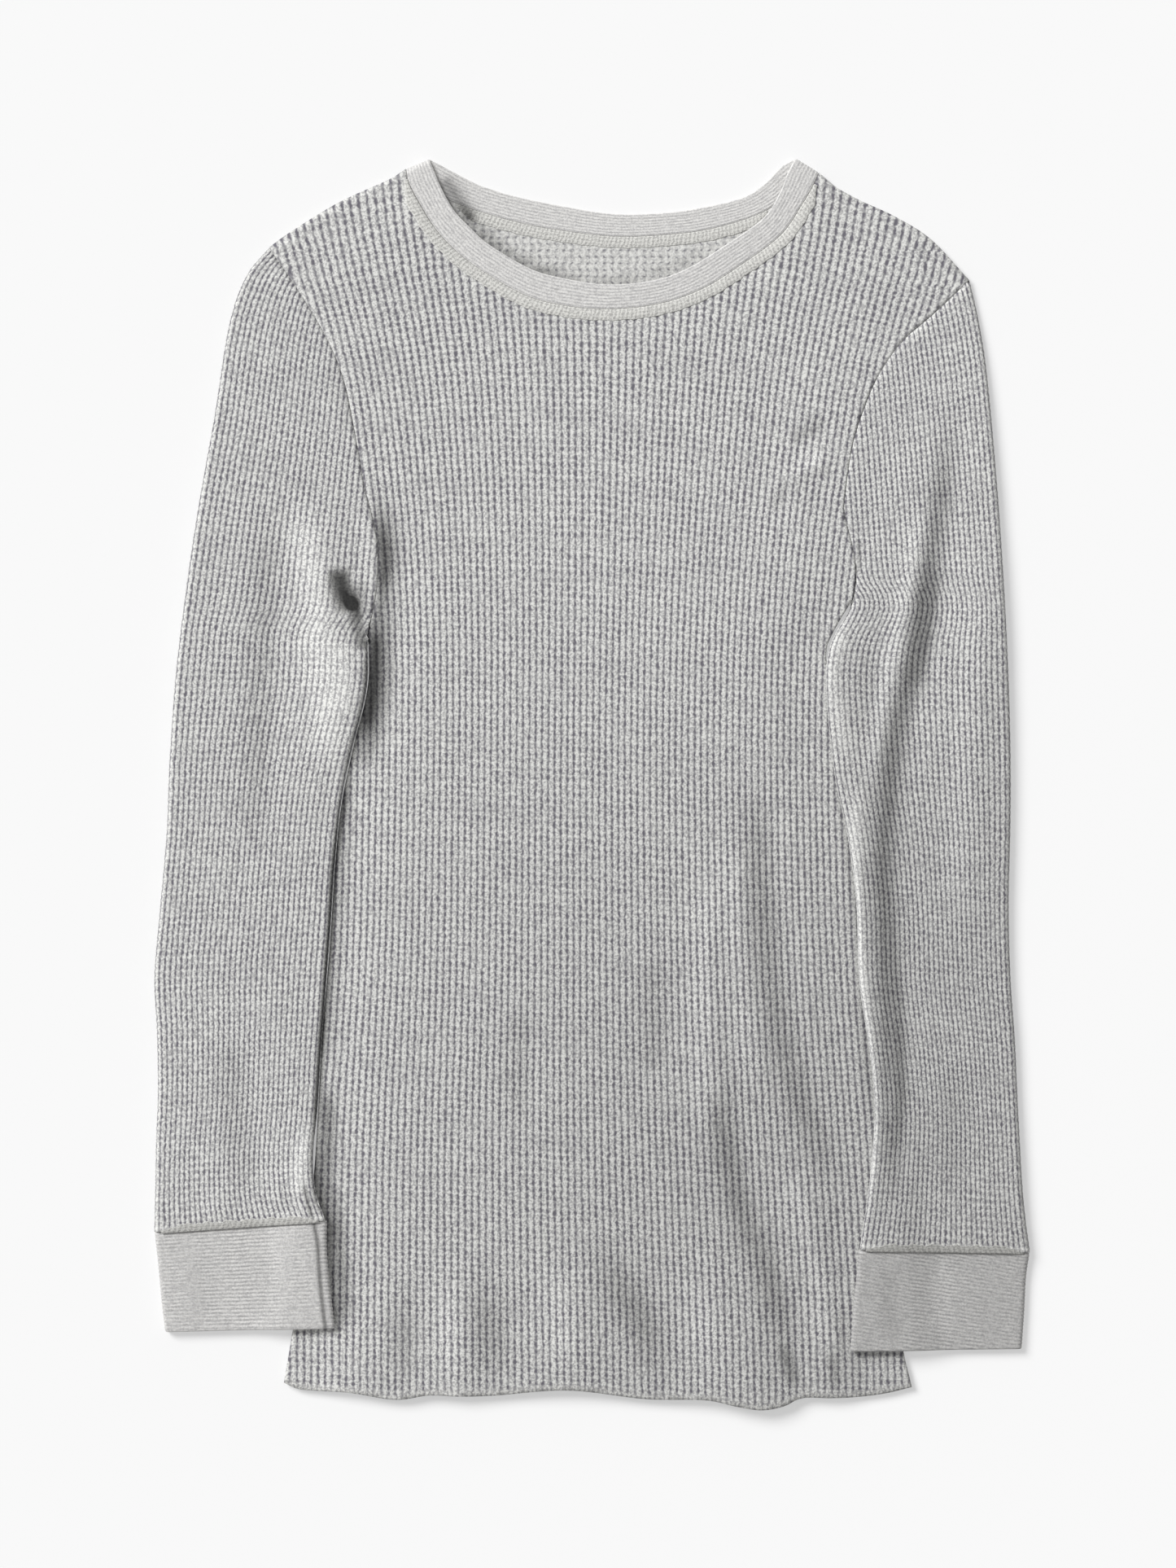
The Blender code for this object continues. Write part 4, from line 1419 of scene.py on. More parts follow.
@dataclass
class Cuff:
    """A flattened tube of fine rib whose free edge is a soft fold."""

    name: str
    inner_fold: Points
    outer_fold: Points
    course: float = 2.08
    samples: int = 4
    half_round: int = 96
    wall: float = 1.9
    radius: float = 2.5
    relief: float = 0.32
    inner_rows: int = 8
    rim_drop: float = 0.1
    slant: float = 0.0
    seam_light: float = 0.2
    seam_width: float = 1.3
    map_margin: float = 3.2
    least_half: float = 0.15
    fold_fade: float = 1.5
    rim_fade: float = 1.6
    ridge_power: float = 0.8
    waves: Points = ((3, 0.12, 0), (11, 0.08, 1))
    lie: Lie = field(default_factory=Lie)

    def build(self) -> bpy.types.Object:
        """Makes the closed wall of the cuff.

        Returns:
            The finished piece.
        """
        inner_line, outer_line = dense(self.inner_fold), dense(self.outer_fold)
        outline = np.vstack([outer_line, inner_line[::-1]])
        upper_map = HeightMap(self.name, Side.UPPER, outline, margin=self.map_margin)
        lower_map = HeightMap(self.name, Side.LOWER, outline, margin=self.map_margin)
        length = length_of(outer_line)
        edge = self.wall / 2
        count = int(round(length / self.course * self.samples))
        outside = np.linspace(0.0, length - edge, count)
        within = np.linspace(length - edge, 0.0, self.inner_rows)
        place = np.concatenate([outside, length - edge + edge * np.sin(RIM_TURN), within])
        depth = np.concatenate([
            np.zeros(count), edge * (1 - np.cos(RIM_TURN)), np.full(self.inner_rows, self.wall),
        ])
        inner = along(self.inner_fold, place / length)
        outer = along(self.outer_fold, place / length)
        span = inner - outer
        width = np.linalg.norm(span, axis=1)[:, None]
        arc = np.linspace(0.0, 1.0, self.half_round + 1)[None, :] * over_folds(width, self.radius)
        gap, bend = round_fold(np.minimum(arc, arc[:, -1:] - arc), self.radius)
        pull = depth[:, None] * np.clip(1 - gap / self.radius, 0.0, 1.0)
        first_half = np.arange(self.half_round + 1)[None, :] <= self.half_round / 2
        across = np.where(first_half, gap + pull, width - gap - pull)
        x = there_and_back(outer[:, :1] + across / width * span[:, :1])
        y = there_and_back(outer[:, 1:] + across / width * span[:, 1:])
        profile = np.sin(there_and_back(bend))
        over = np.where(np.arange(x.shape[1]) <= self.half_round, 1.0, -1.0)[None, :]
        numbers = np.arange(x.shape[1])[None, :] + np.zeros_like(x)
        layer = Layer(x, y, numbers, (place[:, None] + self.slant * x) / self.course, wraps=True)
        top, low = upper_map.at(x, y), lower_map.at(x, y) + self.relief / 2
        half = np.maximum((top - low) / 2 - depth[:, None], self.least_half)
        layer.z = (top + low) / 2 + over * half * profile
        outward = np.where(depth == 0, 1.0, 0.0) * smooth_step((length - edge - place) / self.fold_fade)
        near = smooth_step(place / self.rim_fade)
        turn = 2 * np.pi * numbers / (x.shape[1] - 1)
        sway = sum(size * np.sin(times * turn + phase) for times, size, phase in self.waves)
        ridge = wave(layer.rows + sway) ** self.ridge_power - 0.5
        facing = -int(np.sign(outer_line[:, 0].mean()))
        dropped = (outward * (1 - near))[:, None] * self.rim_drop
        relief = self.relief * ridge * (outward * near)[:, None] - dropped
        layer.push(-relief * facing)
        # Painted highlight along the seam at the top of the cuff, with the painted shade of the cuff's creases
        # and of its fall down and to the right.
        seam_highlight = self.seam_light * np.exp(-((place / self.seam_width) ** 2))[:, None]
        notes = {"painted_shade": self.lie.read(x, y)["painted_shade"] * (over > 0) - seam_highlight}
        piece = knit_layer(self.name + "_rib", layer, -facing, notes)
        close_rims(piece)
        return piece


@dataclass
class Neckband:
    """The neckband: a ring of fine rib that lies on the front and passes under the opening at the back."""

    name: str = "neckband"
    wall: float = 2.0
    base: float = 2.0
    tip_rise: float = 0.4
    front_rise: float = 2.0
    edge_rise: float = 0.4
    width: float = 14.0
    course: float = 1.75
    samples: int = 4
    front_points: int = 130
    back_points: int = 120
    relief: float = 0.16
    rim_drop: float = 0.3
    fold_fade: float = 1.2
    rim_fade: float = 1.4
    ridge_power: float = 0.8

    def half(self, edge: Points, seam: Points, points: int, upward: int,
             down: np.ndarray, depth: np.ndarray) -> np.ndarray:
        """The front or the back of the ring, as rows of x, y, z and the run along it.

        Args:
            edge: the free edge.
            seam: the seam to the body.
            points: how many points lie along it.
            upward: 1 where its outer side faces up, -1 where it faces down.
            down: for each row, how far it lies from the free edge to the seam, from 0 to 1.
            depth: for each row, how deep it lies in the wall.

        Returns:
            An array of rows, points and four values.
        """
        tip = self.base + self.tip_rise + self.wall
        radius = tip / 2
        length = length_of(dense(edge))
        arc = np.linspace(0.0, over_folds(length, radius), points + 1)
        gap, bend = round_fold(np.minimum(arc, arc[-1] - arc), radius)
        first = np.arange(points + 1) <= points / 2
        rows = []
        for lower, deep in zip(down, depth):
            inset = gap + deep * np.clip(1 - gap / radius, 0.0, 1.0)
            share = np.where(first, inset, length - inset) / length
            plan = (1 - lower) * along(edge, share) + lower * along(seam, share)
            height = np.full(points + 1, tip)
            if upward > 0:
                swell = np.sin(np.pi * np.clip(share, 0.0, 1.0))
                height = self.base + self.wall + self.tip_rise
                height = height + (self.front_rise - self.tip_rise) * swell
                height = height + self.edge_rise * (1 - lower) * np.sin(bend)
            level = height / 2 + upward * (height / 2 - deep) * np.sin(bend)
            rows.append(np.column_stack([plan, level, arc]))
        return np.array(rows)

    def build(self) -> bpy.types.Object:
        """Makes the closed ring of the band.

        Returns:
            The finished piece.
        """
        edge = self.wall / 2 / self.width
        count = int(round(self.width / self.course * self.samples))
        outside = np.linspace(1.0, edge, count)
        down = np.concatenate([outside, edge - edge * np.sin(RIM_TURN), outside[::-1]])
        depth = np.concatenate([
            np.zeros(count), self.wall / 2 * (1 - np.cos(RIM_TURN)), np.full(count, self.wall),
        ])
        front = self.half(PLAN.front_band_edge, PLAN.front_band_seam, self.front_points, 1, down, depth)
        back = self.half(PLAN.back_band_edge, PLAN.back_band_seam, self.back_points, -1, down, depth)
        back[..., 3] = 2 * front[:, -1:, 3] + back[:, -1:, 3] - back[..., 3]
        ring = np.concatenate([front, back[:, -2::-1]], axis=1)
        x, y, z, run = (ring[..., number] for number in range(4))
        rows = (down * self.width / self.course)[:, None] + np.zeros_like(x)
        layer = Layer(x.copy(), y.copy(), run, rows, wraps=True, z=z.copy())
        flat = (depth == 0) | (depth == self.wall)
        clear = smooth_step((down - edge) * self.width / self.fold_fade) * flat
        near = smooth_step((1 - down) * self.width / self.rim_fade)
        ridge = wave(layer.rows + 0.5) ** self.ridge_power - 0.5
        dropped = (flat * (1 - near) * self.rim_drop)[:, None]
        layer.push(self.relief * ridge * (clear * near)[:, None] - dropped)
        behind = np.arange(x.shape[1])[None, :] > self.front_points
        # Painted shadow that the front half casts on the back half.
        painted_shade = INSIDE_LIE.read(x, y)["painted_shade"] * behind
        piece = knit_layer(self.name + "_rib", layer, 1, {"painted_shade": painted_shade})
        close_rims(piece)
        return piece


@dataclass
class CoverStitch:
    """A strip of cover stitching that lies on a piece of cloth along one of its seams.

    Its free edge wanders in two sine waves, each given as its length, its share and its phase.
    """

    name: str
    cloth: str
    outline: np.ndarray
    seam: Points
    rise: float
    start: float = 0.0
    end: float = 1.0
    offset: float = 0.1
    side: float = -1.0
    width: float = 6.4
    pitch: float = 2.3
    across: int = 9
    thick: float = 0.35
    ragged: float = 0.35
    shade: float = 0.0
    step: float = 1.2
    wander: Points = ((1.9, 1, 0), (0.83, 0.7, 1.3))
    taper_run: float = 12.0
    end_share: float = 0.35
    least_width: float = 1.0
    rim_share: float = 0.04
    swell_power: float = 0.4

    def build(self) -> bpy.types.Object:
        """Makes the strip as a thin closed shell.

        Returns:
            The finished piece.
        """
        ground = HeightMap(self.cloth, Side.UPPER, self.outline)
        line = dense(self.seam, self.step)
        line = line[int(self.start * len(line)):int(self.end * len(line))]
        run = run_of(line)
        share = np.linspace(0.0, 1.0, self.across)
        swayed = sum(size * np.sin(run / length + phase) for length, size, phase in self.wander)
        uneven = self.ragged * swayed / sum(size for _, size, _ in self.wander)
        taper = smooth_step(run / self.taper_run) * smooth_step((run[-1] - run) / self.taper_run)
        full = self.width * (self.end_share + (1 - self.end_share) * taper)
        reach = np.maximum(full + uneven * taper, self.least_width)
        rows = [set_back(line, self.side * (self.offset + part * reach)[:, None]) for part in share]
        plan = np.array(rows)[::-1]
        x, y = plan[..., 0], plan[..., 1]
        part = share[::-1][:, None] + np.zeros_like(x)
        bulge = np.sin(np.pi * np.clip(part, self.rim_share, 1 - self.rim_share))
        swell = np.clip(bulge, 0.0, 1.0) ** self.swell_power
        top = ground.at(x, y) + self.rise * swell
        columns = run[None, :] / self.pitch + np.zeros_like(x)
        upper = Layer(x, y, columns, part, z=top)
        lower = Layer(x.copy(), y.copy(), columns, part, z=top - self.thick)
        # Painted shade: the whole strip is darkened by shade, and on the back the painted shadow at the neck
        # is added.
        notes = {"painted_shade": self.shade + INSIDE_LIE.read(x, y)["painted_shade"] * (self.cloth == "back")}
        face = knit_layer(self.name, upper, 1, notes)
        under = knit_layer(self.name + "_under", lower, -1, notes)
        return close_wall(face, under)


# ----------------------------------------
# Finishes
# ----------------------------------------


Colour = tuple[float, float, float]
LEAST_LIGHT = 0.04


class Net:
    """The nodes of one material, made one at a time."""

    def __init__(self, name: str) -> None:
        """Starts a material with its shader alone.

        Args:
            name: the material's name.
        """
        self.material = bpy.data.materials.new(name)
        self.material.use_nodes = True
        self.tree = self.material.node_tree
        self.shader = self.tree.nodes["Principled BSDF"]

    def node(self, kind: str, settings: dict | None = None, inputs: dict | None = None) -> bpy.types.Node:
        """Makes a node.

        Args:
            kind: the node's type.
            settings: its own settings, set first.
            inputs: what its sockets hold or are joined to, by name or number.

        Returns:
            The new node.
        """
        node = self.tree.nodes.new(kind)
        for name, value in (settings or {}).items():
            setattr(node, name, value)
        for name, value in (inputs or {}).items():
            self.feed(node.inputs[name], value)
        return node

    def feed(self, socket: bpy.types.NodeSocket, value: object) -> None:
        """Joins a value to a socket, or sets the socket.

        Args:
            socket: where it goes.
            value: a value, an output or a plain number.
        """
        if isinstance(value, Value):
            value = value.socket
        if isinstance(value, bpy.types.NodeSocket):
            self.tree.links.new(value, socket)
        else:
            socket.default_value = value

    def value(self, node: bpy.types.Node, output: int | str = 0) -> "Value":
        """One of a node's outputs, ready for sums."""
        return Value(self, node.outputs[output])

    def mix(self, share: object, first: object, second: object, blend: str = "MIX") -> "Value":
        """Two colours mixed by a share.

        Args:
            share: how much of the second.
            first: a colour.
            second: a colour.
            blend: how they mix.

        Returns:
            The mixed colour.
        """
        settings = {"data_type": "RGBA", "blend_type": blend}
        inputs = {0: share, 6: solid(first), 7: solid(second)}
        return self.value(self.node("ShaderNodeMix", settings, inputs), 2)

    def note(self, name: str) -> "Value":
        """One of the notes kept at a piece's points."""
        return self.value(self.node("ShaderNodeAttribute", {"attribute_name": name}), "Fac")

    def shaded(self, colour: "Value") -> "Value":
        """A colour darkened by the painted shade noted at its points, and lightened as a painted highlight
        where that note is negative.
        """
        left = (1.0 - self.note("painted_shade")).sum("MAXIMUM", LEAST_LIGHT)
        return self.value(self.node("ShaderNodeVectorMath", {"operation": "SCALE"}, {0: colour, 3: left}))

    def noise(self, place: object, scale: float, detail: float = 2.0, rough: float = 0.5) -> "Value":
        """Soft noise from about 0.3 to 0.7."""
        inputs = {"Vector": place, "Scale": scale, "Detail": detail, "Roughness": rough}
        return self.value(self.node("ShaderNodeTexNoise", inputs=inputs), 0)

    def drifted(self, value: "Value", place: object, drifts: Points) -> "Value":
        """A value that wanders with soft noise, given as rows of scale, detail and amount.

        Args:
            value: the value.
            place: where the noise is read.
            drifts: rows of scale, detail and amount.

        Returns:
            The wandering value.
        """
        for scale, detail, amount in drifts:
            value = value + (self.noise(place, scale, detail) - 0.5) * amount
        return value

    def random(self, dimensions: str, inputs: dict) -> "Value":
        """A number from 0 to 1 that is fixed for each whole place."""
        return self.value(self.node("ShaderNodeTexWhiteNoise", {"noise_dimensions": dimensions}, inputs))

    def knit(self) -> tuple["Value", "Value"]:
        """The number of the column and of the row at each place on a piece.

        Returns:
            The column and the row.
        """
        knit = self.node("ShaderNodeUVMap", {"uv_map": "knit"}).outputs[0]
        parts = self.node("ShaderNodeSeparateXYZ", inputs={0: knit})
        return self.value(parts, 0), self.value(parts, 1)

    def spot(self) -> bpy.types.NodeSocket:
        """The place on a piece, in metres."""
        return self.node("ShaderNodeTexCoord").outputs["Object"]

    def pair(self, first: "Value", second: "Value") -> bpy.types.NodeSocket:
        """Two values as one place."""
        return self.node("ShaderNodeCombineXYZ", inputs={0: first, 1: second}).outputs[0]

    def cloth(
        self, colour: "Value", grain: "Value", bump: tuple[float, float], roughness: float, sheen: float = 0.0
    ) -> bpy.types.Material:
        """Joins up the shader of a cloth.

        Args:
            colour: the colour before the painted shade is laid on.
            grain: the height of its finest relief.
            bump: the strength and the depth in metres of that relief.
            roughness: how matt it is.
            sheen: how much its fibres glow at a low angle.

        Returns:
            The finished material.
        """
        self.feed(self.shader.inputs["Base Color"], self.shaded(colour))
        inputs = {"Strength": bump[0], "Distance": bump[1], "Height": grain}
        self.feed(self.shader.inputs["Normal"], self.node("ShaderNodeBump", inputs=inputs).outputs[0])
        self.shader.inputs["Roughness"].default_value = roughness
        self.shader.inputs["Sheen Weight"].default_value = sheen
        return self.material


def solid(colour: object) -> object:
    """A colour with its alpha, or the value itself where it isn't a plain colour."""
    return (*colour, 1.0) if isinstance(colour, tuple) and len(colour) == 3 else colour


@dataclass
class Value:
    """A shader number that can be used in sums."""

    net: Net
    socket: bpy.types.NodeSocket

    def sum(self, operation: str, *others: object, clamp: bool = False) -> "Value":
        """The result of one Math node on this value and others.

        Args:
            operation: the node's operation.
            others: its other inputs.
            clamp: keep it from 0 to 1.

        Returns:
            The result.
        """
        inputs = {0: self, **{place: other for place, other in enumerate(others, 1)}}
        node = self.net.node("ShaderNodeMath", {"operation": operation, "use_clamp": clamp}, inputs)
        return Value(self.net, node.outputs[0])

    def __add__(self, other: object) -> "Value":
        """This and another."""
        return self.sum("ADD", other)

    __radd__ = __add__

    def __sub__(self, other: object) -> "Value":
        """This less another."""
        return self.sum("SUBTRACT", other)

    def __rsub__(self, other: float) -> "Value":
        """A number less this."""
        node = self.net.node("ShaderNodeMath", {"operation": "SUBTRACT"}, {0: other, 1: self})
        return Value(self.net, node.outputs[0])

    def __mul__(self, other: object) -> "Value":
        """This times another."""
        return self.sum("MULTIPLY", other)

    __rmul__ = __mul__

    def __pow__(self, other: float) -> "Value":
        """This to a power."""
        return self.sum("POWER", other)

    def wave(self) -> "Value":
        """1 where this is whole and 0 halfway between."""
        return (self * (2 * math.pi)).sum("COSINE") * 0.5 + 0.5

    def floor(self) -> "Value":
        """The whole part."""
        return self.sum("FLOOR")

    def clamped(self) -> "Value":
        """Kept from 0 to 1."""
        return self.sum("ADD", 0.0, clamp=True)

    def over(self, gain: float) -> "Value":
        """How far this is over a half, times a gain and kept from 0 to 1."""
        return ((self - 0.5) * gain).clamped()

    def under(self, gain: float) -> "Value":
        """How far this is under a half, times a gain and kept from 0 to 1."""
        return ((0.5 - self) * gain).clamped()


@dataclass(frozen=True)
class WaffleFinish:
    """Grey marl waffle: pale ribs, darker bridges and small dark pits, with streaks along the rows. The darker
    bridges and pits are partly the yarn and partly painted shade in the hollows, and the pale beads where ribs
    cross bars are partly a painted highlight.
    """

    name: str
    # The bridge and pit colours are partly the yarn's own darker grey and partly painted shade for the knit's
    # hollows; the bead colour is partly the marl's pale specks and partly a painted highlight where ribs cross
    # the bars.
    rib: Colour = (0.69, 0.69, 0.666)
    bead: Colour = (0.83, 0.83, 0.80)
    bridge: Colour = (0.37, 0.37, 0.373)
    pit: Colour = (0.145, 0.138, 0.162)
    marl: Colour = (0.29, 0.285, 0.295)
    purl: Colour = (0.68, 0.675, 0.65)
    thread: Colour = (0.62, 0.615, 0.585)
    roughness: float = 0.95
    sheen: float = 0.06
    bump: tuple[float, float] = (0.35, 0.0004)
    speckle_scale: float = 820.0
    speckle_gain: float = 9.0
    u_drifts: Points = ((150, 2, 0.34), (520, 1, 0.42))
    v_drifts: Points = ((110, 2, 0.5), (430, 1, 0.5))
    column_shift: float = 0.3
    hollow_power: float = 2.8
    pit_power: float = 0.5
    pit_strength: float = 1.5
    pressed_share: float = 0.75
    streak_scale: tuple[float, float] = (0.13, 3.7)
    band_scale: tuple[float, float] = (0.04, 0.35)
    bridge_share: float = 1.25
    row_share: float = 0.2
    bead_share: float = 0.6
    bar_share: float = 0.15
    dark_share: float = 0.62
    band_share: float = 0.24
    serge_share: float = 0.85
    zigzag: float = 0.16
    loop_power: float = 0.7

    def make(self) -> bpy.types.Material:
        """Builds the material.

        Returns:
            The finished material.
        """
        net = Net(self.name)
        plain_u, plain_v = net.knit()
        spot = net.spot()
        u = net.drifted(plain_u, spot, self.u_drifts)
        v = net.drifted(plain_v, spot, self.v_drifts)
        v = v + (net.random("1D", {1: u.floor()}) - 0.5) * self.column_shift
        hollow = (1.0 - u.wave()) ** self.hollow_power
        bar = v.wave()
        pressed = (1.0 - net.note("plain") * self.pressed_share).clamped()
        pit = hollow * (1.0 - bar) ** self.pit_power * self.depth(net, u, v) * pressed
        speckle = net.noise(spot, self.speckle_scale, 1.0, 0.6)
        dark, light = speckle.over(self.speckle_gain), speckle.under(self.speckle_gain)
        rib, gap = 1.0 - hollow, 1.0 - bar
        # Painted shade and highlight by relief: the colour darkens towards the bridges between ribs and along
        # the ribs between bars, and pales to the bead colour where ribs cross bars, over the marl's own specks
        # and bands.
        ground = net.mix((hollow * pressed * self.bridge_share).clamped(), self.rib, self.bridge)
        ground = net.mix((rib * gap * pressed * self.row_share).clamped(), ground, self.marl)
        ground = net.mix((rib * (light * self.bead_share + bar * self.bar_share)).clamped(), ground, self.bead)
        ground = net.mix((dark * self.dark_share).clamped(), ground, self.marl)
        ground = net.mix(self.banding(net, u, v) * self.band_share, ground, self.marl)
        # Painted shade in the pits, partly the yarn's own darker colour.
        colour = net.mix((pit * self.pit_strength).clamped(), ground, self.pit)
        colour = net.mix(net.note("inside"), colour, self.reverse(net, plain_u, plain_v, light, dark))
        hem = (net.note("hem") * self.serge_share).clamped()
        colour = net.mix(hem, colour, self.serging(net, u, light, dark))
        return net.cloth(colour, speckle, self.bump, self.roughness, self.sheen)

    def depth(self, net: Net, u: "Value", v: "Value") -> "Value":
        """How dark each pit is: partly its own chance, and partly a streak along its row.

        Args:
            net: the material's nodes.
            u: the column.
            v: the row.

        Returns:
            A share of the pit's colour.
        """
        own = net.random("2D", {"Vector": net.pair(u.floor(), v.floor())})
        along, over = self.streak_scale
        streak = net.noise(net.pair(u * along, v.floor() * over), 1.0, 2.0)
        return (own * 0.75 + streak * 1.9 - 0.6).clamped() * 0.75 + 0.25

    def banding(self, net: Net, u: "Value", v: "Value") -> "Value":
        """Where wide, soft bands of darker yarn run across."""
        along, over = self.band_scale
        return ((net.noise(net.pair(u * along, v * over), 1.0, 3.0) - 0.45) * 2.2).clamped()

    def reverse(self, net: Net, u: "Value", v: "Value", light: "Value", dark: "Value") -> "Value":
        """The colour of the knit's inner side: zigzag columns of pale loops with darker rows between them.

        Args:
            net: the material's nodes.
            u: the column.
            v: the row.
            light: the pale specks.
            dark: the dark specks.

        Returns:
            The colour.
        """
        sway = (v * math.pi).sum("COSINE") * self.zigzag
        loop = (u + sway).wave() ** self.loop_power
        row = v.wave() ** self.loop_power
        # The darker colour between loops and rows is partly the yarn and partly painted shade in the hollows.
        ground = net.mix((loop * 0.6 + row * 0.3 + 0.12).clamped(), self.bridge, self.purl)
        ground = net.mix((((1.0 - loop) * (1.0 - row) - 0.25) * 1.2).clamped(), ground, self.pit)
        ground = net.mix((light * 0.5).clamped(), ground, self.bead)
        return net.mix((dark * 0.3).clamped(), ground, self.marl)

    def serging(self, net: Net, u: "Value", light: "Value", dark: "Value") -> "Value":
        """The colour of the overlocked hem: short upright threads, speckled.

        Args:
            net: the material's nodes.
            u: the column.
            light: the pale specks.
            dark: the dark specks.

        Returns:
            The colour.
        """
        stitch = (u * 1.5).wave() ** self.loop_power
        ground = net.mix(stitch, self.marl, self.thread)
        ground = net.mix((light * 0.6).clamped(), ground, self.bead)
        return net.mix((dark * 0.4).clamped(), ground, self.marl)


@dataclass(frozen=True)
class RibFinish:
    """Grey marl fine rib: pale ridges with thin darker lines between them, and a heathered grain."""

    name: str
    ridge: Colour = (0.72, 0.71, 0.69)
    line: Colour = (0.47, 0.465, 0.465)
    marl: Colour = (0.36, 0.355, 0.36)
    bright: Colour = (0.86, 0.85, 0.83)
    roughness: float = 0.95
    sheen: float = 0.08
    bump: tuple[float, float] = (0.3, 0.0003)
    v_drifts: Points = ((160.0, 2.0, 0.7),)
    ridge_power: float = 0.6
    strand_scale: tuple[float, float] = (0.24, 1.3)
    strand_gain: float = 6.0
    strand_shares: tuple[float, float] = (0.42, 0.35)
    speckle_scale: float = 1050.0
    speckle_gain: float = 8.0
    speckle_share: float = 0.32

    def make(self) -> bpy.types.Material:
        """Builds the material.

        Returns:
            The finished material.
        """
        net = Net(self.name)
        u, plain_v = net.knit()
        spot = net.spot()
        v = net.drifted(plain_v, spot, self.v_drifts)
        along, over = self.strand_scale
        strand = net.noise(net.pair(u * along, v * over), 1.0, 3.0, 0.7)
        speckle = net.noise(spot, self.speckle_scale, 1.0, 0.6)
        dark, light = self.strand_shares
        colour = net.mix(v.wave() ** self.ridge_power, self.line, self.ridge)
        colour = net.mix(strand.over(self.strand_gain) * dark, colour, self.marl)
        colour = net.mix(strand.under(self.strand_gain) * light, colour, self.bright)
        colour = net.mix(speckle.over(self.speckle_gain) * self.speckle_share, colour, self.marl)
        colour = net.mix(speckle.under(self.speckle_gain) * self.speckle_share, colour, self.bright)
        return net.cloth(colour, speckle, self.bump, self.roughness, self.sheen)


@dataclass(frozen=True)
class StitchFinish:
    """Cover stitching: rows of fine cross threads over the seam allowance, with a pale line at its edge."""

    name: str
    thread: Colour = (0.72, 0.715, 0.68)
    gap: Colour = (0.42, 0.415, 0.40)
    edge: Colour = (0.78, 0.775, 0.74)
    marl: Colour = (0.36, 0.355, 0.35)
    roughness: float = 0.9
    bump: tuple[float, float] = (0.5, 0.0004)
    sway_scale: float = 300.0
    rows_across: float = 3.0
    edge_from: float = 0.86
    edge_to: float = 1.02
    edge_share: float = 0.7
    speckle_scale: float = 1050.0
    speckle_gain: float = 8.0
    speckle_share: float = 0.25

    def make(self) -> bpy.types.Material:
        """Builds the material.

        Returns:
            The finished material.
        """
        net = Net(self.name)
        u, v = net.knit()
        spot = net.spot()
        sway = net.noise(spot, self.sway_scale) - 0.5
        across = (u + sway * 0.9 + v * 0.6).wave()
        rows = (v * self.rows_across + sway * 0.6).wave()
        speckle = net.noise(spot, self.speckle_scale, 1.0, 0.6)
        share = (across * 0.6 + rows * 0.35 + (0.5 - speckle) * 2.0 + 0.15).clamped()
        rim = ((v - self.edge_from) * 9.0).clamped() * ((self.edge_to - v) * 20.0).clamped()
        colour = net.mix(share, self.gap, self.thread)
        colour = net.mix(rim * self.edge_share, colour, self.edge)
        colour = net.mix(speckle.over(self.speckle_gain) * self.speckle_share, colour, self.marl)
        return net.cloth(colour, share, self.bump, self.roughness)


@dataclass(frozen=True)
class FloorFinish:
    """A plain pale floor that glows a little, so the shadows on it stay light."""

    colour: Colour = (0.57, 0.57, 0.57)
    light: Colour = (1.0, 1.0, 1.0)
    glow: float = 0.36
    roughness: float = 0.9

    def make(self) -> bpy.types.Material:
        """Builds the material.

        Returns:
            The finished material.
        """
        net = Net("floor_paint")
        net.shader.inputs["Base Color"].default_value = solid(self.colour)
        net.shader.inputs["Roughness"].default_value = self.roughness
        net.shader.inputs["Emission Color"].default_value = solid(self.light)
        net.shader.inputs["Emission Strength"].default_value = self.glow
        return net.material


# ----------------------------------------
# The room
# ----------------------------------------


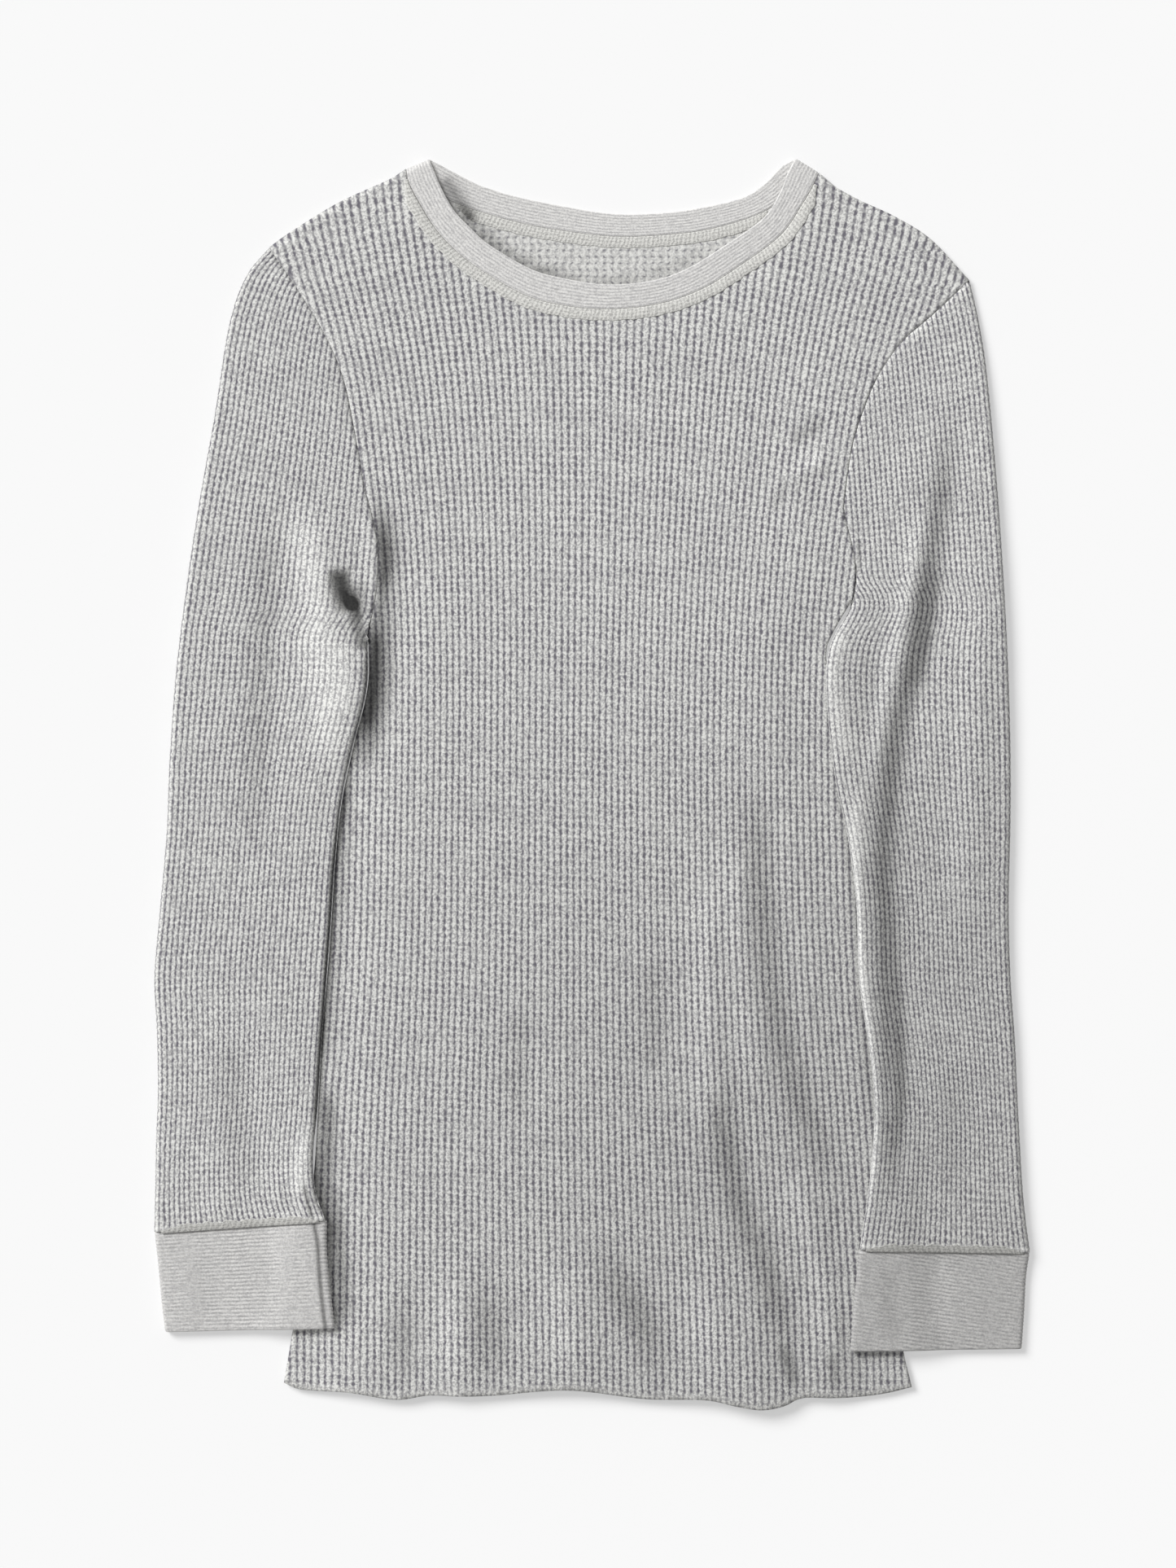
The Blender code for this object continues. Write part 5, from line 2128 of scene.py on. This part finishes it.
@dataclass
class Room:
    """A pale floor, soft light from the upper left and a camera that looks straight down."""

    floor_size: float = 16.0
    floor_level: float = -0.0003
    camera_height: float = 2.6
    frame_height: float = 0.886
    centre: tuple[float, float] = (-0.0023, -0.0002)
    sensor: float = 24.0
    room_light: Colour = (1.0, 1.0, 1.0)
    room_strength: float = 0.42
    key_place: tuple[float, float, float] = (-1.5, 1.3, 1.5)
    key_softness: float = 28.0
    key_power: float = 3.1

    def floor(self) -> None:
        """Lays the floor."""
        deselect()
        bpy.ops.mesh.primitive_plane_add(size=self.floor_size)
        plane = bpy.context.active_object
        plane.name = "floor"
        for vertex in plane.data.vertices:
            vertex.co.z = self.floor_level
        plane.data.materials.append(FloorFinish().make())

    def lamp(self, name: str, place: tuple[float, float, float], softness: float, power: float) -> None:
        """Hangs a wide, far lamp that faces the middle of the floor and lights it evenly.

        Args:
            name: the lamp's name.
            place: where it hangs, in metres.
            softness: how wide it looks from the floor, in degrees.
            power: how bright it is.
        """
        light = bpy.data.lights.new(name, "SUN")
        light.angle = math.radians(softness)
        light.energy = power
        lamp = bpy.data.objects.new(name, light)
        lamp.location = place
        lamp.rotation_euler = (-Vector(place)).to_track_quat("-Z", "Y").to_euler()
        bpy.context.scene.collection.objects.link(lamp)

    def lights(self) -> None:
        """Sets the soft room light and the lamp."""
        world = bpy.data.worlds.new("room")
        world.use_nodes = True
        background = world.node_tree.nodes["Background"]
        background.inputs[0].default_value = solid(self.room_light)
        background.inputs[1].default_value = self.room_strength
        bpy.context.scene.world = world
        bpy.context.scene.view_settings.view_transform = "Standard"
        self.lamp("key", self.key_place, self.key_softness, self.key_power)

    def camera(self) -> None:
        """Sets the camera above the top, looking straight down."""
        data = bpy.data.cameras.new("above")
        data.sensor_fit = "VERTICAL"
        data.sensor_height = self.sensor
        data.lens = self.sensor * self.camera_height / self.frame_height
        camera = bpy.data.objects.new("above", data)
        camera.location = (*self.centre, self.camera_height)
        bpy.context.scene.collection.objects.link(camera)
        bpy.context.scene.camera = camera

    def build(self) -> None:
        """Makes the floor, the lights and the camera."""
        self.floor()
        self.lights()
        self.camera()


# ----------------------------------------
# The whole top
# ----------------------------------------


@dataclass
class ThermalTop:
    """The seven cut pieces of the top, and their flat sizes in metres."""

    body_flat: tuple[float, float] = (0.345, 0.695)
    sleeve_flat: tuple[float, float] = (0.23, 0.565)
    cuff_flat: tuple[float, float] = (0.196, 0.062)
    band_flat: tuple[float, float] = (0.46, 0.014)

    def made(
        self, maker: Panel | Tube | Cuff | Neckband, material: bpy.types.Material
    ) -> bpy.types.Object:
        """Builds one cut piece and dresses it, to stand for the solid of its name.

        Args:
            maker: the cut piece.
            material: its finish.

        Returns:
            The finished piece.
        """
        piece = maker.build()
        finish_cloth(piece, maker.name, material)
        return piece

    def panels(self, waffle: bpy.types.Material) -> list[bpy.types.Object]:
        """Makes and dresses the front and the back.

        Args:
            waffle: the waffle finish.

        Returns:
            The front and the back.
        """
        front = Panel("front", PLAN.front_band_seam, 0.0, Side.UPPER, 3, 2, lie=FRONT_LIE)
        back = Panel(
            "back", PLAN.back_band_seam, PLAN.back_hem_short, Side.LOWER, 2, 2, rib_lift=-0.38,
            inner_step=5.0, inner_lie=INSIDE_LIE,
        )
        return [self.made(panel, waffle) for panel in (front, back)]

    def sleeves(self, waffle: bpy.types.Material) -> tuple[list[bpy.types.Object], list[np.ndarray]]:
        """Makes and dresses both sleeves, and gives their outlines in plan too.

        Args:
            waffle: the waffle finish.

        Returns:
            The left and right pieces, and their outlines.
        """
        left = Tube(
            "sleeve_left", LEFT_OUTER, LEFT_INNER, PLAN.left_armhole, ((-149.5, -246), (-247, -253)),
            tilt=(
                (-250, -4), (-100, -2), (0, 0), (70, 2),
                (150, 8), (220, 17), (300, 19),
            ),
            course=((-260, 4.05), (-100, 4), (0, 4.15), (80, 4.25), (250, 4.4), (320, 4.4)),
            lie=LEFT_SLEEVE_LIE,
        )
        right = Tube(
            "sleeve_right", RIGHT_OUTER, RIGHT_INNER, PLAN.right_armhole, ((150.5, -262.5), (247, -264.5)),
            tilt=(
                (-265, 4), (-200, 7.5), (0, 8), (70, 5),
                (130, -2), (200, -12), (290, -16),
            ),
            course=((-270, 3.95), (-150, 3.95), (0, 4.05), (80, 4.15), (250, 4.2), (320, 4.2)),
            lie=RIGHT_SLEEVE_LIE,
        )
        pieces = [self.made(tube, waffle) for tube in (left, right)]
        return pieces, [left.outline, right.outline]

    def cuffs(self, rib: bpy.types.Material) -> list[bpy.types.Object]:
        """Makes and dresses both cuffs.

        Args:
            rib: the rib finish.

        Returns:
            The left and right pieces.
        """
        left = Cuff(
            "cuff_left",
            inner_fold=((-149.5, -246.3), (-149.5, -263), (-147.5, -285), (-145, -307)),
            outer_fold=((-247, -253.3), (-245, -271.5), (-243, -293), (-241, -309.5)),
            lie=LEFT_CUFF_LIE,
        )
        right = Cuff(
            "cuff_right",
            inner_fold=((150.5, -262.8), (149, -278), (147, -298), (145.5, -320)),
            outer_fold=((247, -264.8), (245, -279), (244, -298), (242.5, -319)),
            slant=-0.16,
            lie=RIGHT_CUFF_LIE,
        )
        return [self.made(cuff, rib) for cuff in (left, right)]

    def stitching(self, outlines: list[np.ndarray]) -> list[bpy.types.Object]:
        """Makes and dresses the strips of thread at the neck and over the cuffs.

        Args:
            outlines: the sleeves' outlines in plan.

        Returns:
            The strips.
        """
        stitch = StitchFinish("cover_stitch").make()
        front_seam, back_seam = PLAN.front_band_seam, PLAN.back_band_seam
        strips = [maker.build() for maker in (
            CoverStitch("neck_stitch_front", "front", PLAN.panel_edges(front_seam, 0.0)[0], front_seam,
                        rise=0.65, start=0.02, end=0.98),
            CoverStitch("neck_stitch_back", "back", PLAN.panel_edges(back_seam, 0.0)[0], back_seam,
                        rise=0.35, start=0.14, end=0.86),
            CoverStitch("cuff_stitch_left", "sleeve_left", outlines[0], ((-154, -246.3), (-243, -252.7)),
                        rise=0.32, offset=-0.9, width=4.4, pitch=3.1, ragged=0.8, shade=0.26),
            CoverStitch("cuff_stitch_right", "sleeve_right", outlines[1], ((154, -262.6), (243.5, -264.4)),
                        rise=0.32, offset=-0.9, side=1.0, width=4.4, pitch=2.9, ragged=0.8, shade=0.44),
        )]
        for strip in strips:
            dress(strip, stitch)
        return strips

    def build(self) -> None:
        """Makes and dresses every piece."""
        waffle = WaffleFinish("waffle_marl").make()
        rib = RibFinish("rib_marl").make()
        front, back = self.panels(waffle)
        (left, right), outlines = self.sleeves(waffle)
        left_cuff, right_cuff = self.cuffs(rib)
        band = self.made(Neckband(), rib)
        front_stitch, back_stitch, left_stitch, right_stitch = self.stitching(outlines)


def main() -> None:
    """Builds the room and the top."""
    Room().build()
    ThermalTop().build()


if __name__ == "__main__":
    main()
